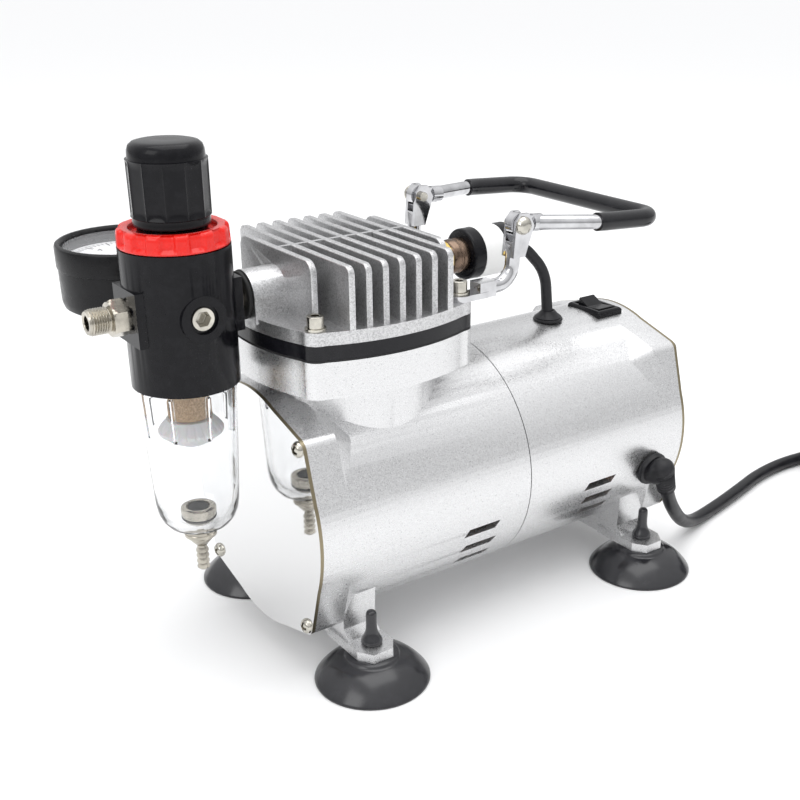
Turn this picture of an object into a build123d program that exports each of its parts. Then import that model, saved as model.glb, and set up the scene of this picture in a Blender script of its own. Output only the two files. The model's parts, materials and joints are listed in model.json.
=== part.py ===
from build123d import *
import math
import os

# Airbrush compressor. Millimetres, +Z up, Z = 0 where the suction cups stand.
# Stations along X are measured from the outer face of the front end plate, +X towards the rear;
# every solid is moved by row_shift when it is written, which centres the object on the origin.

# Barrel
barrel_r = 51.0
barrel_wall = 3.5
axis_z = 63.5
barrel_length = 196.0
plate_t = 1.5
seam_x = 103.0
seam_gap_half = 0.2
vent_half = 1.9
vent_length = 16.2
vent_slant = 2.2
lug_centre = 37.0
lug_r = 5.0
lug_length = 13.0
lug_blend = 12.0
plate_screw_at = 38.0
plate_screw_head = 2.2
web_t = 5.0
bearing_r = 9.5
front_web_x = 67.0
rear_web_x = 158.0

# Cylinder, valve plate and head
head_x = 45.0
flange_corner = 37.0
flange_side = 44.0
flange_bottom_z = 118.0
flange_top_z = 132.3
gasket_t = 0.8
base_bottom_z = 138.7
base_top_z = 143.7
neck_r = 36.5
sleeve_r = 22.0
bore_r = 18.5
fin_count = 9
fin_pitch = 7.3
fin_t = 2.4
fin_half = 41.5
fin_half_end = 27.5
fin_top_z = 167.0
port_z = 151.0
head_boss_r = 9.5
head_boss_front = 0.8
head_boss_rear = 86.5
head_screw_dx = 32.5
head_screw_dy = 32.8
head_bolt_r = 2.0
head_bolt_head = 3.2
washer_r = 4.0

# Feet
foot_front_x = 22.0
foot_rear_x = 173.5
foot_y = 50.5
foot_half_w = 8.5
pad_bottom_z = 12.0
pad_top_z = 16.0
cup_r = 23.5

# Motor and crank
shaft_r = 4.0
crank_throw = 5.0
rod_length = 44.5
pin_r = 3.5
wrist_r = 2.5
fit_gap = 0.05
big_end_z = axis_z - crank_throw
small_end_z = big_end_z + rod_length
crown_z = small_end_z + 18.0

# Handle
pivot_x = 104.8
pivot_y = 34.0
pivot_z = 170.2
handle_droop = 3.6
handle_r = 3.0
grip_r = 3.75
handle_corner_x = 68.8
handle_bend_x = 36.5
handle_side = 43.6
grip_start = 35.0
lug_t = 2.4
fork_half = 3.7

# Pressure switch
switch_front = 103.0
switch_length = 24.0
switch_r = 10.8
grommet_x = 151.0
grommet_y = -3.4
lead_r = 2.5
lead_points = [
    (switch_front + switch_length + 2, 0, port_z),
    (switch_front + switch_length + 11, -0.8, 149.0),
    (149.0, -2.6, 137.0),
    (grommet_x, grommet_y, 112.5),
]

# Rocker switch
rocker_x = 181.0
rocker_y = -2.5
rocker_z = 114.2
rocker_pivot_z = rocker_z - 2.0
rocker_tip = 10.0

# Regulator
reg_x = -24.5
reg_r = 20.0
reg_bottom_z = 122.7
reg_top_z = 174.0
boss_half = 10.0
knob_bottom_z = 181.4
knob_top_z = 210.4
thread_r = 4.86
outlet_tip = -59.5

# Gauge
gauge_y = 47.4
gauge_r = 26.4
gauge_bottom_z = 141.0
gauge_top_z = 166.5
gauge_rest = -45.0

# Mains cord
cord_r = 3.25
coil_x = 366.0
coil_y = -60.0
coil_turn_r = 36.0
coil_height = 8 * cord_r
plug_length = 34.0
plug_width = 26.0
plug_t = 15.0
plug_relief = 14.0
plug_front = coil_x - plug_relief - plug_length
plug_y = coil_y - 24.0
plug_z = coil_height + plug_t / 2
gland_x = 176.0
gland_angle = 14.0
cord_points = [
    (180.2, -56.6, 44.0),
    (186.0, -53.8, 34.0),
    (194.6, -50.4, 23.5),
    (205.5, -46.0, 13.0),
    (218.5, -41.0, 5.6),
    (234.0, -36.6, 3.25),
    (252.0, -32.8, 3.25),
    (273.0, -27.6, 3.25),
    (294.0, -21.8, 3.25),
    (318.0, -19.4, 3.25),
    (342.0, -22.6, 3.25),
]

# Centres the object, from the outlet's tip to the rear screw heads
row_shift = -(outlet_tip + barrel_length + plate_screw_head) / 2


def tube_x(x0, x1, r, y=0.0, z=axis_z, bore=0.0):
    place = Pos((x0 + x1) / 2, y, z) * Rot(0, 90, 0)
    solid = place * Cylinder(r, x1 - x0)
    if bore:
        solid -= place * Cylinder(bore, x1 - x0 + 2)
    return solid


def tube_y(y0, y1, r, x, z, bore=0.0):
    place = Pos(x, (y0 + y1) / 2, z) * Rot(90, 0, 0)
    solid = place * Cylinder(r, y1 - y0)
    if bore:
        solid -= place * Cylinder(bore, y1 - y0 + 2)
    return solid


def tube_z(z0, z1, r, x, y, bore=0.0):
    place = Pos(x, y, (z0 + z1) / 2)
    solid = place * Cylinder(r, z1 - z0)
    if bore:
        solid -= place * Cylinder(bore, z1 - z0 + 2)
    return solid


def block(x0, x1, y0, y1, z0, z1):
    return Pos((x0 + x1) / 2, (y0 + y1) / 2, (z0 + z1) / 2) * Box(x1 - x0, y1 - y0, z1 - z0)


def turned_z(profile, x, y):
    """A solid turned about the vertical through (x, y), from (radius, height) points."""
    outline = Polyline(*[(r, 0, z) for r, z in profile], close=True)
    return Pos(x, y, 0) * revolve(make_face(outline), Axis.Z)


def turned_x(profile, y, z):
    """A solid turned about the line along X through (y, z), from (station, radius) points."""
    outline = Polyline(*[(s, r, 0) for s, r in profile], close=True)
    return Pos(0, y, z) * revolve(make_face(outline), Axis.X)


def group(shapes):
    """Separate solids kept in one node."""
    return Compound([solid for shape in shapes for solid in shape.solids()])


def hexagon_x(x0, x1, across, y, z):
    sketch = Plane.YZ.offset(x0) * Pos(y, z) * RegularPolygon(across / 2, 6, major_radius=False)
    return extrude(sketch, x1 - x0)


def hexagon_z(z0, z1, across, x, y):
    sketch = Plane.XY.offset(z0) * Pos(x, y) * RegularPolygon(across / 2, 6, major_radius=False)
    return extrude(sketch, z1 - z0)


# ---------------------------------------------------------------- end outline and housings
tangent_half = math.acos((barrel_r - lug_r) / (lug_centre * math.sqrt(2)))


def lug_face(x, scale, quadrant):
    """Corner lug outline: tangents from the barrel circle to a rounded corner."""
    low = math.radians(45) - tangent_half
    high = math.radians(45) + tangent_half
    hold = (barrel_r - 0.25) * (1.0 if scale == 1.0 else 0.95)
    centre = lug_centre * scale

    def corner(angle):
        return (centre + lug_r * math.cos(angle), centre + lug_r * math.sin(angle))

    start = (hold * math.cos(low), hold * math.sin(low))
    end = (hold * math.cos(high), hold * math.sin(high))
    inner = (18.0, 18.0)
    outline = (
        Line(inner, start)
        + Line(start, corner(low))
        + ThreePointArc(corner(low), corner(math.radians(45)), corner(high))
        + Line(corner(high), end)
        + Line(end, inner)
    )
    face = make_face(outline)
    return Plane.YZ.offset(x) * Rot(0, 0, 90 * quadrant) * face


def lugs(x_face, x_shoulder, x_end):
    """Four corner lugs from the end face, fading into the barrel at x_end."""
    solids = []
    for quadrant in range(4):
        full = extrude(lug_face(min(x_face, x_shoulder), 1.0, quadrant), abs(x_shoulder - x_face))
        fade = loft([lug_face(x_shoulder, 1.0, quadrant), lug_face(x_end, 0.84, quadrant)], ruled=True)
        solids.append(Pos(0, 0, axis_z) * (full + fade))
    return solids


def end_outline_plate(x0, x1):
    """An end plate: the barrel circle with its four corner lugs."""
    plate = tube_x(x0, x1, barrel_r)
    for quadrant in range(4):
        plate += Pos(0, 0, axis_z) * extrude(lug_face(x0, 1.0, quadrant), x1 - x0)
    return plate


def screw_spots():
    return [(sy * plate_screw_at, axis_z + sz * plate_screw_at) for sy in (-1, 1) for sz in (-1, 1)]


def foot(x):
    """Pads and webs that carry the two suction cups at one station."""
    solids = []
    for side in (-1, 1):
        web = Plane.YZ.offset(x - foot_half_w + 1) * make_face(
            Polyline(
                (side * 14, pad_bottom_z), (side * 46, pad_bottom_z), (side * 45, pad_top_z),
                (side * 41.5, pad_top_z + 4), (side * 42.5, 42), (side * 14, 42), close=True,
            )
        )
        pad = Plane.XY.offset(pad_bottom_z) * make_face(
            Polyline(
                (x - foot_half_w, side * 30), (x - foot_half_w, side * 53), (x - 4.5, side * 59),
                (x + 4.5, side * 59), (x + foot_half_w, side * 53), (x + foot_half_w, side * 30), close=True,
            )
        )
        solids.append(extrude(web, 2 * (foot_half_w - 1)))
        solids.append(extrude(pad, pad_top_z - pad_bottom_z))
    return solids


def foot_holes(x):
    return [tube_z(pad_bottom_z - 1, pad_top_z + 1, 3.2, x, side * foot_y) for side in (-1, 1)]


def vents(x_start, angles):
    """Slanted ventilation slots through both sides of the barrel, at angles below the horizontal."""
    cutters = []
    for side in (-1, 1):
        for row, angle in enumerate(angles):
            shift = 0.7 * row
            outline = Polyline(
                (x_start + shift, -vent_half), (x_start + shift + vent_length, -vent_half),
                (x_start + shift + vent_length + vent_slant, vent_half),
                (x_start + shift + vent_slant, vent_half), close=True,
            )
            slot = extrude(Plane.XZ * make_face(outline), 12, both=True)
            slot = Pos(0, -barrel_r + 3, 0) * slot
            slot = Rot(angle, 0, 0) * slot
            if side == 1:
                slot = mirror(slot, Plane.XZ)
            cutters.append(Pos(0, 0, axis_z) * slot)
    return cutters


def flange_face(z):
    """Rounded square with bulging sides, used by the cylinder flange, valve plate and head."""
    edge = flange_corner + 0.8
    round_r = 6.3
    near = edge - round_r
    diagonal = near + round_r * math.sin(math.radians(45))
    corner_points = [(near, -edge), (diagonal, -diagonal), (edge, -near), (flange_side, 0), (edge, near)]
    outline = []
    for quarter in range(4):
        turn = math.radians(90 * quarter)
        points = [(x * math.cos(turn) - y * math.sin(turn), x * math.sin(turn) + y * math.cos(turn))
                  for x, y in corner_points]
        outline.append(ThreePointArc(points[0], points[1], points[2]))
        outline.append(ThreePointArc(points[2], points[3], points[4]))
    return Plane.XY.offset(z) * Pos(head_x, 0) * make_face(outline)


def head_screw_spots():
    return [(head_x + sx * head_screw_dx, sy * head_screw_dy) for sx in (-1, 1) for sy in (-1, 1)]


def front_housing():
    x0 = plate_t
    x1 = seam_x - seam_gap_half
    body = tube_x(x0, x1, barrel_r)
    body += tube_z(axis_z, flange_bottom_z + 1, neck_r, head_x, 0)
    body += extrude(flange_face(flange_bottom_z), flange_top_z - flange_bottom_z)
    for lug in lugs(x0, x0 + lug_length, x0 + lug_length + lug_blend):
        body += lug
    for solid in foot(foot_front_x):
        body += solid
    web = tube_x(front_web_x, front_web_x + web_t, barrel_r - 0.5)
    inner_r = barrel_r - barrel_wall
    cavity = tube_x(x0 - 1, front_web_x, inner_r) + tube_x(front_web_x + web_t, x1 + 1, inner_r)
    body -= cavity
    body += web
    body -= tube_x(front_web_x - 7, front_web_x + 13, bearing_r)
    body -= tube_z(axis_z + 20, flange_top_z + 1, sleeve_r, head_x, 0)
    for hole in foot_holes(foot_front_x):
        body -= hole
    for slot in vents(69.8, (17, 28, 39)):
        body -= slot
    for x, y in head_screw_spots():
        body -= tube_z(flange_bottom_z + 2, flange_top_z + 1, head_bolt_r, x, y)
    for y, z in screw_spots():
        body -= tube_x(x0 - 1, x0 + 10, 1.8, y, z)
    return body


def rear_housing():
    x0 = seam_x + seam_gap_half
    x1 = barrel_length - plate_t
    body = tube_x(x0, x1, barrel_r)
    for lug in lugs(x1, x1 - lug_length, x1 - lug_length - lug_blend):
        body += lug
    for solid in foot(foot_rear_x):
        body += solid
    inner_r = barrel_r - barrel_wall
    body -= tube_x(x0 - 1, rear_web_x, inner_r) + tube_x(rear_web_x + web_t, x1 + 1, inner_r)
    body -= tube_x(rear_web_x - 8, rear_web_x + 12, bearing_r)
    for side in (-1, 1):
        for z in (-26, 26):
            body -= tube_x(rear_web_x - 2, rear_web_x + 7, 9, side * 22, axis_z + z)
    for hole in foot_holes(foot_rear_x):
        body -= hole
    for slot in vents(135.8, (13.5, 23, 32.5)):
        body -= slot
    body -= rocker_cutter()
    body -= tube_z(axis_z + 30, axis_z + 60, 3.6, grommet_x, grommet_y)
    gland_place = Pos(0, 0, axis_z) * Rot(gland_angle, 0, 0) * Pos(gland_x, -barrel_r, 0) * Rot(90, 0, 0)
    body -= gland_place * Cylinder(5.0, 20)
    for y, z in screw_spots():
        body -= tube_x(x1 - 10, x1 + 1, 1.8, y, z)
    return body


def end_plate(x0, x1):
    plate = end_outline_plate(x0, x1)
    for y, z in screw_spots():
        plate -= tube_x(x0 - 1, x1 + 1, 1.8, y, z)
    return plate


def pan_screw(x_face, direction, y, z):
    """Cross-recess pan head screw; direction is -1 when the head points to -X."""
    head = [(0, 0), (0, 3.2), (0.9, 3.2), (1.7, 2.5), (2.1, 1.4), (plate_screw_head, 0)]
    solid = turned_x([(x_face + direction * s, r) for s, r in head], y, z)
    shank = sorted((x_face, x_face - direction * 9))
    solid += tube_x(shank[0], shank[1], 1.8, y, z)
    tip = sorted((x_face + direction * 1.2, x_face + direction * 2.6))
    for w, h in ((3.4, 0.8), (0.8, 3.4)):
        solid -= block(tip[0], tip[1], y - w / 2, y + w / 2, z - h / 2, z + h / 2)
    return solid


def end_plate_screws():
    solids = []
    for y, z in screw_spots():
        solids.append(pan_screw(0, -1, y, z))
        solids.append(pan_screw(barrel_length, 1, y, z))
    return group(solids)


# ---------------------------------------------------------------- head and cylinder
def fin(index):
    """One cooling fin across the head, with rounded upper ends."""
    x = head_x + (index - (fin_count - 1) / 2) * fin_pitch
    short = index in (0, fin_count - 1)
    half = fin_half_end if short else fin_half
    sketch = Plane.YZ.offset(x - fin_t / 2) * Pos(0, (base_top_z - 1 + fin_top_z) / 2) * Rectangle(
        2 * half, fin_top_z - base_top_z + 1)
    solid = extrude(sketch, fin_t)
    top_edges = solid.edges().filter_by(Axis.X).group_by(Axis.Z)[-1]
    solid = fillet(top_edges, 5.0 if short else 3.0)
    return fillet(solid.faces().sort_by(Axis.X)[0].outer_wire().edges().sort_by(Axis.Z)[1:], 0.5)


def head_boss(x0, x1):
    """Arch-section boss that carries a threaded port along X."""
    arch = tube_x(x0, x1, head_boss_r, 0, port_z)
    return arch + block(x0, x1, -head_boss_r, head_boss_r, base_top_z - 2, port_z)


def cylinder_head():
    body = extrude(flange_face(base_bottom_z), base_top_z - base_bottom_z)
    first = head_x - (fin_count - 1) / 2 * fin_pitch
    last = head_x + (fin_count - 1) / 2 * fin_pitch
    for index in range(fin_count):
        body += fin(index)
    body += block(first, last, -0.9, 0.9, base_top_z - 1, fin_top_z)
    body += head_boss(head_boss_front, first)
    body += head_boss(last, head_boss_rear)
    body += tube_z(base_top_z - 1, port_z + 9, 13, head_x, 0)
    body += tube_x(first, last, 7.5, 0, port_z) + block(first, last, -7.5, 7.5, base_top_z - 1, port_z)
    body -= tube_x(head_boss_front - 1, head_boss_rear + 1, 4.3, 0, port_z)
    body -= tube_z(base_bottom_z - 1, port_z + 4, 9, head_x, 0)
    for x, y in head_screw_spots():
        body -= tube_z(base_bottom_z - 1, base_top_z + 1, head_bolt_r, x, y)
    return body


def band(z0, z1):
    plate = extrude(flange_face(z0), z1 - z0)
    for x, y in head_screw_spots():
        plate -= tube_z(z0 - 1, z1 + 1, head_bolt_r, x, y)
    return plate


def head_gasket():
    return band(flange_top_z, flange_top_z + gasket_t) - tube_z(
        flange_top_z - 1, flange_top_z + 2, bore_r, head_x, 0)


def valve_plate():
    plate = band(flange_top_z + gasket_t, base_bottom_z)
    plate -= tube_z(flange_top_z, base_bottom_z + 1, 2.5, head_x - 6, 0)
    return plate - tube_z(flange_top_z, base_bottom_z + 1, 2.5, head_x + 6, 0)


def screw_seat_z(x):
    """The rear screws stand on the bracket lugs, the front ones on the head."""
    return base_top_z + (lug_t if x > head_x else 0.0)


def head_screws():
    solids = []
    for x, y in head_screw_spots():
        seat = screw_seat_z(x) + 1.0
        screw = tube_z(seat, seat + 4.4, head_bolt_head, x, y) - hexagon_z(seat + 1.8, seat + 6, 3.0, x, y)
        screw = fillet(screw.edges().filter_by(GeomType.CIRCLE).group_by(Axis.Z)[-1], 0.4)
        solids.append(screw + tube_z(flange_bottom_z + 2, seat + 0.5, head_bolt_r, x, y))
    return group(solids)


def head_washers():
    solids = []
    for x, y in head_screw_spots():
        seat = screw_seat_z(x)
        solids.append(tube_z(seat, seat + 1.0, washer_r, x, y, head_bolt_r))
    return group(solids)


def cylinder_sleeve():
    return tube_z(95, flange_top_z, sleeve_r, head_x, 0, bore_r)


# ---------------------------------------------------------------- piston, crank and motor
def piston():
    skirt = tube_z(small_end_z - 6, crown_z, bore_r - fit_gap, head_x, 0)
    skirt -= tube_z(small_end_z - 7, crown_z - 2.4, bore_r - 3, head_x, 0)
    groove = tube_z(crown_z - 5.5, crown_z - 3.9, bore_r + 1, head_x, 0, bore_r - 1.6)
    return skirt - groove


def piston_ring():
    return tube_z(crown_z - 5.5, crown_z - 3.9, bore_r - 0.03, head_x, 0, bore_r - 1.6)


def connecting_rod():
    big = tube_x(head_x - 4, head_x + 4, 8.0, 0, big_end_z)
    small = tube_x(head_x - 4, head_x + 4, 4.8, 0, small_end_z)
    shank = block(head_x - 2.5, head_x + 2.5, -3.2, 3.2, big_end_z, small_end_z)
    body = big + small + shank
    body -= tube_x(head_x - 5, head_x + 5, pin_r + fit_gap, 0, big_end_z)
    return body - tube_x(head_x - 5, head_x + 5, wrist_r, 0, small_end_z)


def wrist_pin():
    return tube_x(head_x - 7, head_x + 7, wrist_r, 0, small_end_z)


def crank():
    web = tube_x(head_x + 4.6, head_x + 11, 11, 0, axis_z)
    pin = tube_x(head_x - 4.6, head_x + 4.6, pin_r, 0, big_end_z)
    cap = tube_x(head_x - 6, head_x - 4.6, pin_r + 1.5, 0, big_end_z)
    weight = tube_x(head_x + 4.6, head_x + 11, 24, 0, axis_z) - block(
        head_x + 4, head_x + 12, -30, 30, axis_z - 30, axis_z + 3)
    return web + pin + cap + weight - tube_x(head_x + 6, head_x + 12, shaft_r, 0, axis_z)


def motor_shaft():
    return tube_x(head_x + 6, 186, shaft_r)


def rotor():
    core = tube_x(92, 140, 26, 0, axis_z, shaft_r)
    ends = tube_x(88, 92, 23, 0, axis_z, 15) + tube_x(140, 144, 23, 0, axis_z, 15)
    return core + ends


def stator():
    core = tube_x(94, 138, barrel_r - barrel_wall, 0, axis_z, 26.5)
    for index in range(12):
        angle = math.radians(30 * index)
        y = 36 * math.cos(angle)
        z = axis_z + 36 * math.sin(angle)
        core -= tube_x(93, 139, 5, y, z)
    return core


def stator_windings():
    front = tube_x(82, 94, 43, 0, axis_z, 30)
    rear = tube_x(138, 150, 43, 0, axis_z, 30)
    return group([fillet(s.edges().filter_by(GeomType.CIRCLE), 3.5) for s in (front, rear)])


def motor_bearings():
    return group([tube_x(x, x + web_t, bearing_r, 0, axis_z, shaft_r + fit_gap)
                  for x in (front_web_x, rear_web_x)])


def cooling_fan():
    hub = tube_x(170, 182, 9, 0, axis_z, shaft_r)
    disc = tube_x(170, 172, 30, 0, axis_z, 8)
    body = hub + disc
    for index in range(9):
        blade = block(171, 182, -0.9, 0.9, 8, 39)
        body += Pos(0, 0, axis_z) * Rot(40 * index, 0, 0) * blade
    return body


# ---------------------------------------------------------------- handle
def handle_frame(shape):
    """Places a shape drawn about the pivot line with the arm along +X."""
    return Pos(pivot_x, 0, pivot_z) * Rot(0, handle_droop, 0) * shape


def handle_path():
    """The bail's centre line in its own plane, from one tongue round to the other."""
    side = handle_side
    points = [(8.0, pivot_y), (handle_bend_x, side), (handle_corner_x, side),
              (handle_corner_x, -side), (handle_bend_x, -side), (8.0, -pivot_y)]
    path = FilletPolyline(*[(x, y, 0) for x, y in points], radius=[24, 9, 9, 24])
    return path, Plane(origin=path @ 0, z_dir=path % 0)


def handle_rod():
    path, first = handle_path()
    body = sweep(first * Circle(handle_r), path=path)
    for side in (-1, 1):
        tongue = block(0, 9.5, -1.9, 1.9, -3.2, 3.2) + tube_y(-1.9, 1.9, 4.4, 0, 0)
        tongue -= tube_y(-3, 3, 2.0 + fit_gap, 0, 0)
        collar = tube_x(7, 12, 3.5, 0, 0)
        body += Pos(0, side * pivot_y, 0) * (tongue + collar)
    return handle_frame(body)


def handle_grip():
    path, first = handle_path()
    sleeve = sweep(first * Circle(grip_r), path=path)
    sleeve -= sweep(first * Circle(handle_r), path=path)
    sleeve &= block(grip_start, 90, -60, 60, -10, 10)
    return handle_frame(sleeve)


def bracket(side):
    """Screw lug, bent rod and two-eared fork on one side of the head."""
    x, y = head_x + head_screw_dx, side * head_screw_dy
    rod_z = base_top_z + 3.2
    yb = side * pivot_y
    lug = tube_z(base_top_z, base_top_z + lug_t, 5.2, x, y) + block(
        x, x + 11, yb - 3.6, yb + 3.6, base_top_z, base_top_z + lug_t)
    shank = block(x + 7, x + 15, yb - 3.4, yb + 3.4, base_top_z + 0.1, base_top_z + 6.2)
    path = FilletPolyline((x + 10, yb, rod_z), (102.5, yb, rod_z), (103.6, yb, 162), radius=8.0)
    rod = sweep(Plane(origin=path @ 0, z_dir=path % 0) * Circle(3.0), path=path)
    fork = Plane.XZ.offset(-yb) * make_face(Polyline(
        (100.6, 157.5), (106.6, 157.5), (110.9, 169.5), (108, 174.6), (104.6, 174.8), (101.8, 172),
        close=True))
    fork = extrude(fork, fork_half, both=True)
    fork -= block(95, 115, yb - 2.1, yb + 2.1, 163.6, 180)
    body = lug + shank + rod + fork
    body -= tube_z(base_top_z - 1, base_top_z + 8, head_bolt_r, x, y)
    return body - tube_y(yb - 6, yb + 6, 2.0, pivot_x, pivot_z)


def handle_brackets():
    return group([bracket(-1), bracket(1)])


def handle_pivot_screws():
    """Button head outside, nut inside, on the fork's pivot line."""
    solids = []
    for side in (-1, 1):
        profile = [(0, 0), (0, 3.6), (1.0, 3.6), (2.2, 2.8), (2.9, 1.5), (3.1, 0)]
        head = Pos(pivot_x, side * (pivot_y + fork_half), pivot_z) * Rot(0, 0, 90 * side) * turned_x(profile, 0, 0)
        shank = tube_y(side * pivot_y - 7, side * pivot_y + 7, 2.0, pivot_x, pivot_z)
        shank &= block(pivot_x - 5, pivot_x + 5, side * pivot_y - 5.5, side * pivot_y + 5.5, 160, 180)
        solids.append(head + shank)
    return group(solids)


# ---------------------------------------------------------------- switches
def switch_fitting():
    body = hexagon_x(head_boss_rear, 95, 12.5, 0, port_z) + tube_x(head_boss_rear - 9, 98, 4.3, 0, port_z)
    return body + tube_x(95, switch_front, 7.4, 0, port_z)


def pressure_switch():
    end = switch_front + switch_length
    body = tube_x(switch_front, end, switch_r, 0, port_z)
    body = fillet(body.edges().filter_by(GeomType.CIRCLE), 1.2)
    body -= tube_x(switch_front + 6, switch_front + 17, switch_r + 1, 0, port_z, switch_r - 0.4)
    body += tube_x(end - 0.5, end + 4, 4.0, 0, port_z)
    return body - tube_x(end + 2, end + 5, 2.5, 0, port_z)


def switch_label():
    return tube_x(switch_front + 6, switch_front + 17, switch_r + 0.1, 0, port_z, switch_r - 0.4)


def switch_lead():
    radii = cord_radii(lead_points)
    path = FilletPolyline(*lead_points, radius=radii)
    return sweep(Plane(origin=path @ 0, z_dir=path % 0) * Circle(lead_r), path=path)


def lead_grommet():
    profile = [(2.5, 112.5), (3.6, 112.5), (3.6, 114.5), (6.8, 114.5), (6.8, 115.4), (5.4, 117.2),
               (3.6, 118.6), (2.5, 119.0)]
    return turned_z(profile, grommet_x, grommet_y)


def rocker_cutter():
    return block(rocker_x - 6.4, rocker_x + 6.4, rocker_y - 9.5, rocker_y + 9.5, 100, 130) + block(
        rocker_x - 7.5, rocker_x + 7.5, rocker_y - 10.5, rocker_y + 10.5, rocker_z - 1.6, 130)


def rocker_frame():
    flange = block(rocker_x - 7.5, rocker_x + 7.5, rocker_y - 10.5, rocker_y + 10.5,
                   rocker_z - 1.6, rocker_z + 1.8)
    flange = chamfer(flange.edges().group_by(Axis.Z)[-1], 0.8)
    box = block(rocker_x - 6.4, rocker_x + 6.4, rocker_y - 9.5, rocker_y + 9.5, 104, rocker_z)
    well = block(rocker_x - 5.2, rocker_x + 5.2, rocker_y - 8.3, rocker_y + 8.3, 105.3, rocker_z + 4)
    return flange + box - well


def rocker_button():
    """Rocker with two shallow slopes, tipped so that its +Y end stands high."""
    profile = make_face(Polyline((-7, -4.2), (7, -4.2), (7, 5.6), (0, 3.6), (-7, 5.6), close=True))
    key = extrude(Plane.YZ * profile, 4.7, both=True)
    key = Rot(rocker_tip, 0, 0) * key
    return Pos(rocker_x, rocker_y, rocker_pivot_z) * key


# ---------------------------------------------------------------- regulator and filter
def regulator_body():
    body = tube_z(reg_bottom_z, reg_top_z, reg_r, reg_x, 0)
    body += tube_z(reg_top_z - 1, knob_bottom_z - 0.8, 12.4, reg_x, 0)
    body += block(reg_x - 20.5, reg_x + 20.5, -boss_half, boss_half, port_z - boss_half, port_z + boss_half)
    body += tube_y(-20.2, 20.2, 8.5, reg_x, port_z)
    body -= tube_z(reg_bottom_z - 1, reg_bottom_z + 8, 14.2, reg_x, 0)
    body -= tube_z(158, reg_top_z + 4, 10.5, reg_x, 0)
    body -= tube_z(reg_top_z, knob_bottom_z, 4.0 + fit_gap, reg_x, 0)
    body -= tube_z(reg_bottom_z, 160, 4.0, reg_x, 0)
    body -= tube_x(reg_x - 22, reg_x + 22, 4.3, 0, port_z)
    body -= tube_y(-22, 22, 4.3, reg_x, port_z)
    body -= tube_y(-22, -18.8, 5.4, reg_x, port_z)
    return body


def lock_ring():
    sides = 12
    ring = tube_z(reg_top_z, reg_top_z + 7.0, 20.6, reg_x, 0)
    for index in range(sides):
        angle = math.radians(360 / sides * (index + 0.5))
        ring -= tube_z(reg_top_z + 1.2, reg_top_z + 8, 4.0,
                       reg_x + 23.7 * math.cos(angle), 23.7 * math.sin(angle))
    return ring - tube_z(reg_top_z - 1, reg_top_z + 8, 12.4, reg_x, 0)


def adjusting_screw():
    return tube_z(160.5, knob_bottom_z + 14, 4.0, reg_x, 0)


def spring_seat():
    return tube_z(171.0, 173.5, 10.2, reg_x, 0, 4.0 + fit_gap)


def regulator_spring():
    wire_r = 0.9
    coil_r = 7.6
    low, high = 162.4, 171.0
    helix = Helix(pitch=2.6, height=high - low - 2 * wire_r, radius=coil_r)
    spring = sweep(Plane(origin=helix @ 0, z_dir=helix % 0) * Circle(wire_r), path=helix, is_frenet=True)
    return Pos(reg_x, 0, low + wire_r) * spring


def diaphragm():
    return tube_z(158, 160, 10.5, reg_x, 0) + tube_z(160, 162.4, 9.0, reg_x, 0, 4.6)


def regulator_knob():
    body = turned_z([(0, knob_bottom_z + 14), (0, knob_top_z), (10.6, knob_top_z), (12.8, knob_top_z - 1.2),
                     (13.4, knob_top_z - 3.4), (13.5, knob_bottom_z + 23), (14.2, knob_bottom_z + 22.8),
                     (14.1, knob_bottom_z + 3.2), (13.7, knob_bottom_z + 3.0), (13.7, knob_bottom_z),
                     (12.6, knob_bottom_z), (12.4, knob_bottom_z + 14)], reg_x, 0)
    body += tube_z(knob_bottom_z, knob_bottom_z + 15, 6.5, reg_x, 0)
    body -= tube_z(knob_bottom_z - 1, knob_bottom_z + 14, 4.0 + fit_gap, reg_x, 0)
    for index in range(12):
        angle = math.radians(30 * index + 15)
        body -= tube_z(knob_bottom_z + 3.4, knob_bottom_z + 24, 3.3,
                       reg_x + 16.9 * math.cos(angle), 16.9 * math.sin(angle))
    return body


def filter_bowl():
    outer = [(0, 61.5), (7, 61.5), (12.5, 64.5), (15.2, 69), (16.2, 75), (18.3, 118), (18.6, reg_bottom_z),
             (14.0, reg_bottom_z), (14.0, reg_bottom_z + 7.5), (12.6, reg_bottom_z + 7.5),
             (12.6, reg_bottom_z), (16.4, 118), (14.3, 75), (13.4, 70), (11, 66.6), (7.4, 64.5), (0, 64.5)]
    return turned_z(outer, reg_x, 0) - tube_z(60, 66, 3.4, reg_x, 0)


def filter_element():
    return tube_z(108.5, reg_bottom_z + 6, 8.0, reg_x, 0, 3.0)


def bowl_baffle():
    profile = [(0, 97), (4, 97), (12.3, 103), (12.3, 104.2), (9, 108.5), (0, 108.5)]
    return turned_z(profile, reg_x, 0)


def drain_nut():
    inside = turned_z([(3.4, 64.5), (7.0, 64.5), (7.0, 69.6), (6.3, 70.6), (4.6, 70.6), (4.6, 68.5),
                       (3.4, 68.5)], reg_x, 0)
    outside = turned_z([(2.45, 60.2), (5.3, 60.2), (5.3, 57.4), (6.0, 57.4), (6.4, 58.0), (6.4, 61.5),
                        (3.4, 61.5), (3.4, 64.6), (2.45, 64.6)], reg_x, 0)
    return inside + outside


def drain_valve():
    """Push-up stem with a rubber-topped poppet above and the hose barb below."""
    profile = [(0, 42.4), (1.8, 42.4)]
    for ring in range(4):
        z = 43.0 + 2.6 * ring
        profile += [(1.8, z), (2.5, z + 1.2), (1.9, z + 2.4)]
    profile += [(2.4, 53.6), (4.8, 56.4), (4.8, 57.0), (2.4, 57.0), (2.4, 68.7), (4.2, 68.9), (4.2, 70.2),
                (0, 70.2)]
    return turned_z(profile, reg_x, 0)


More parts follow.
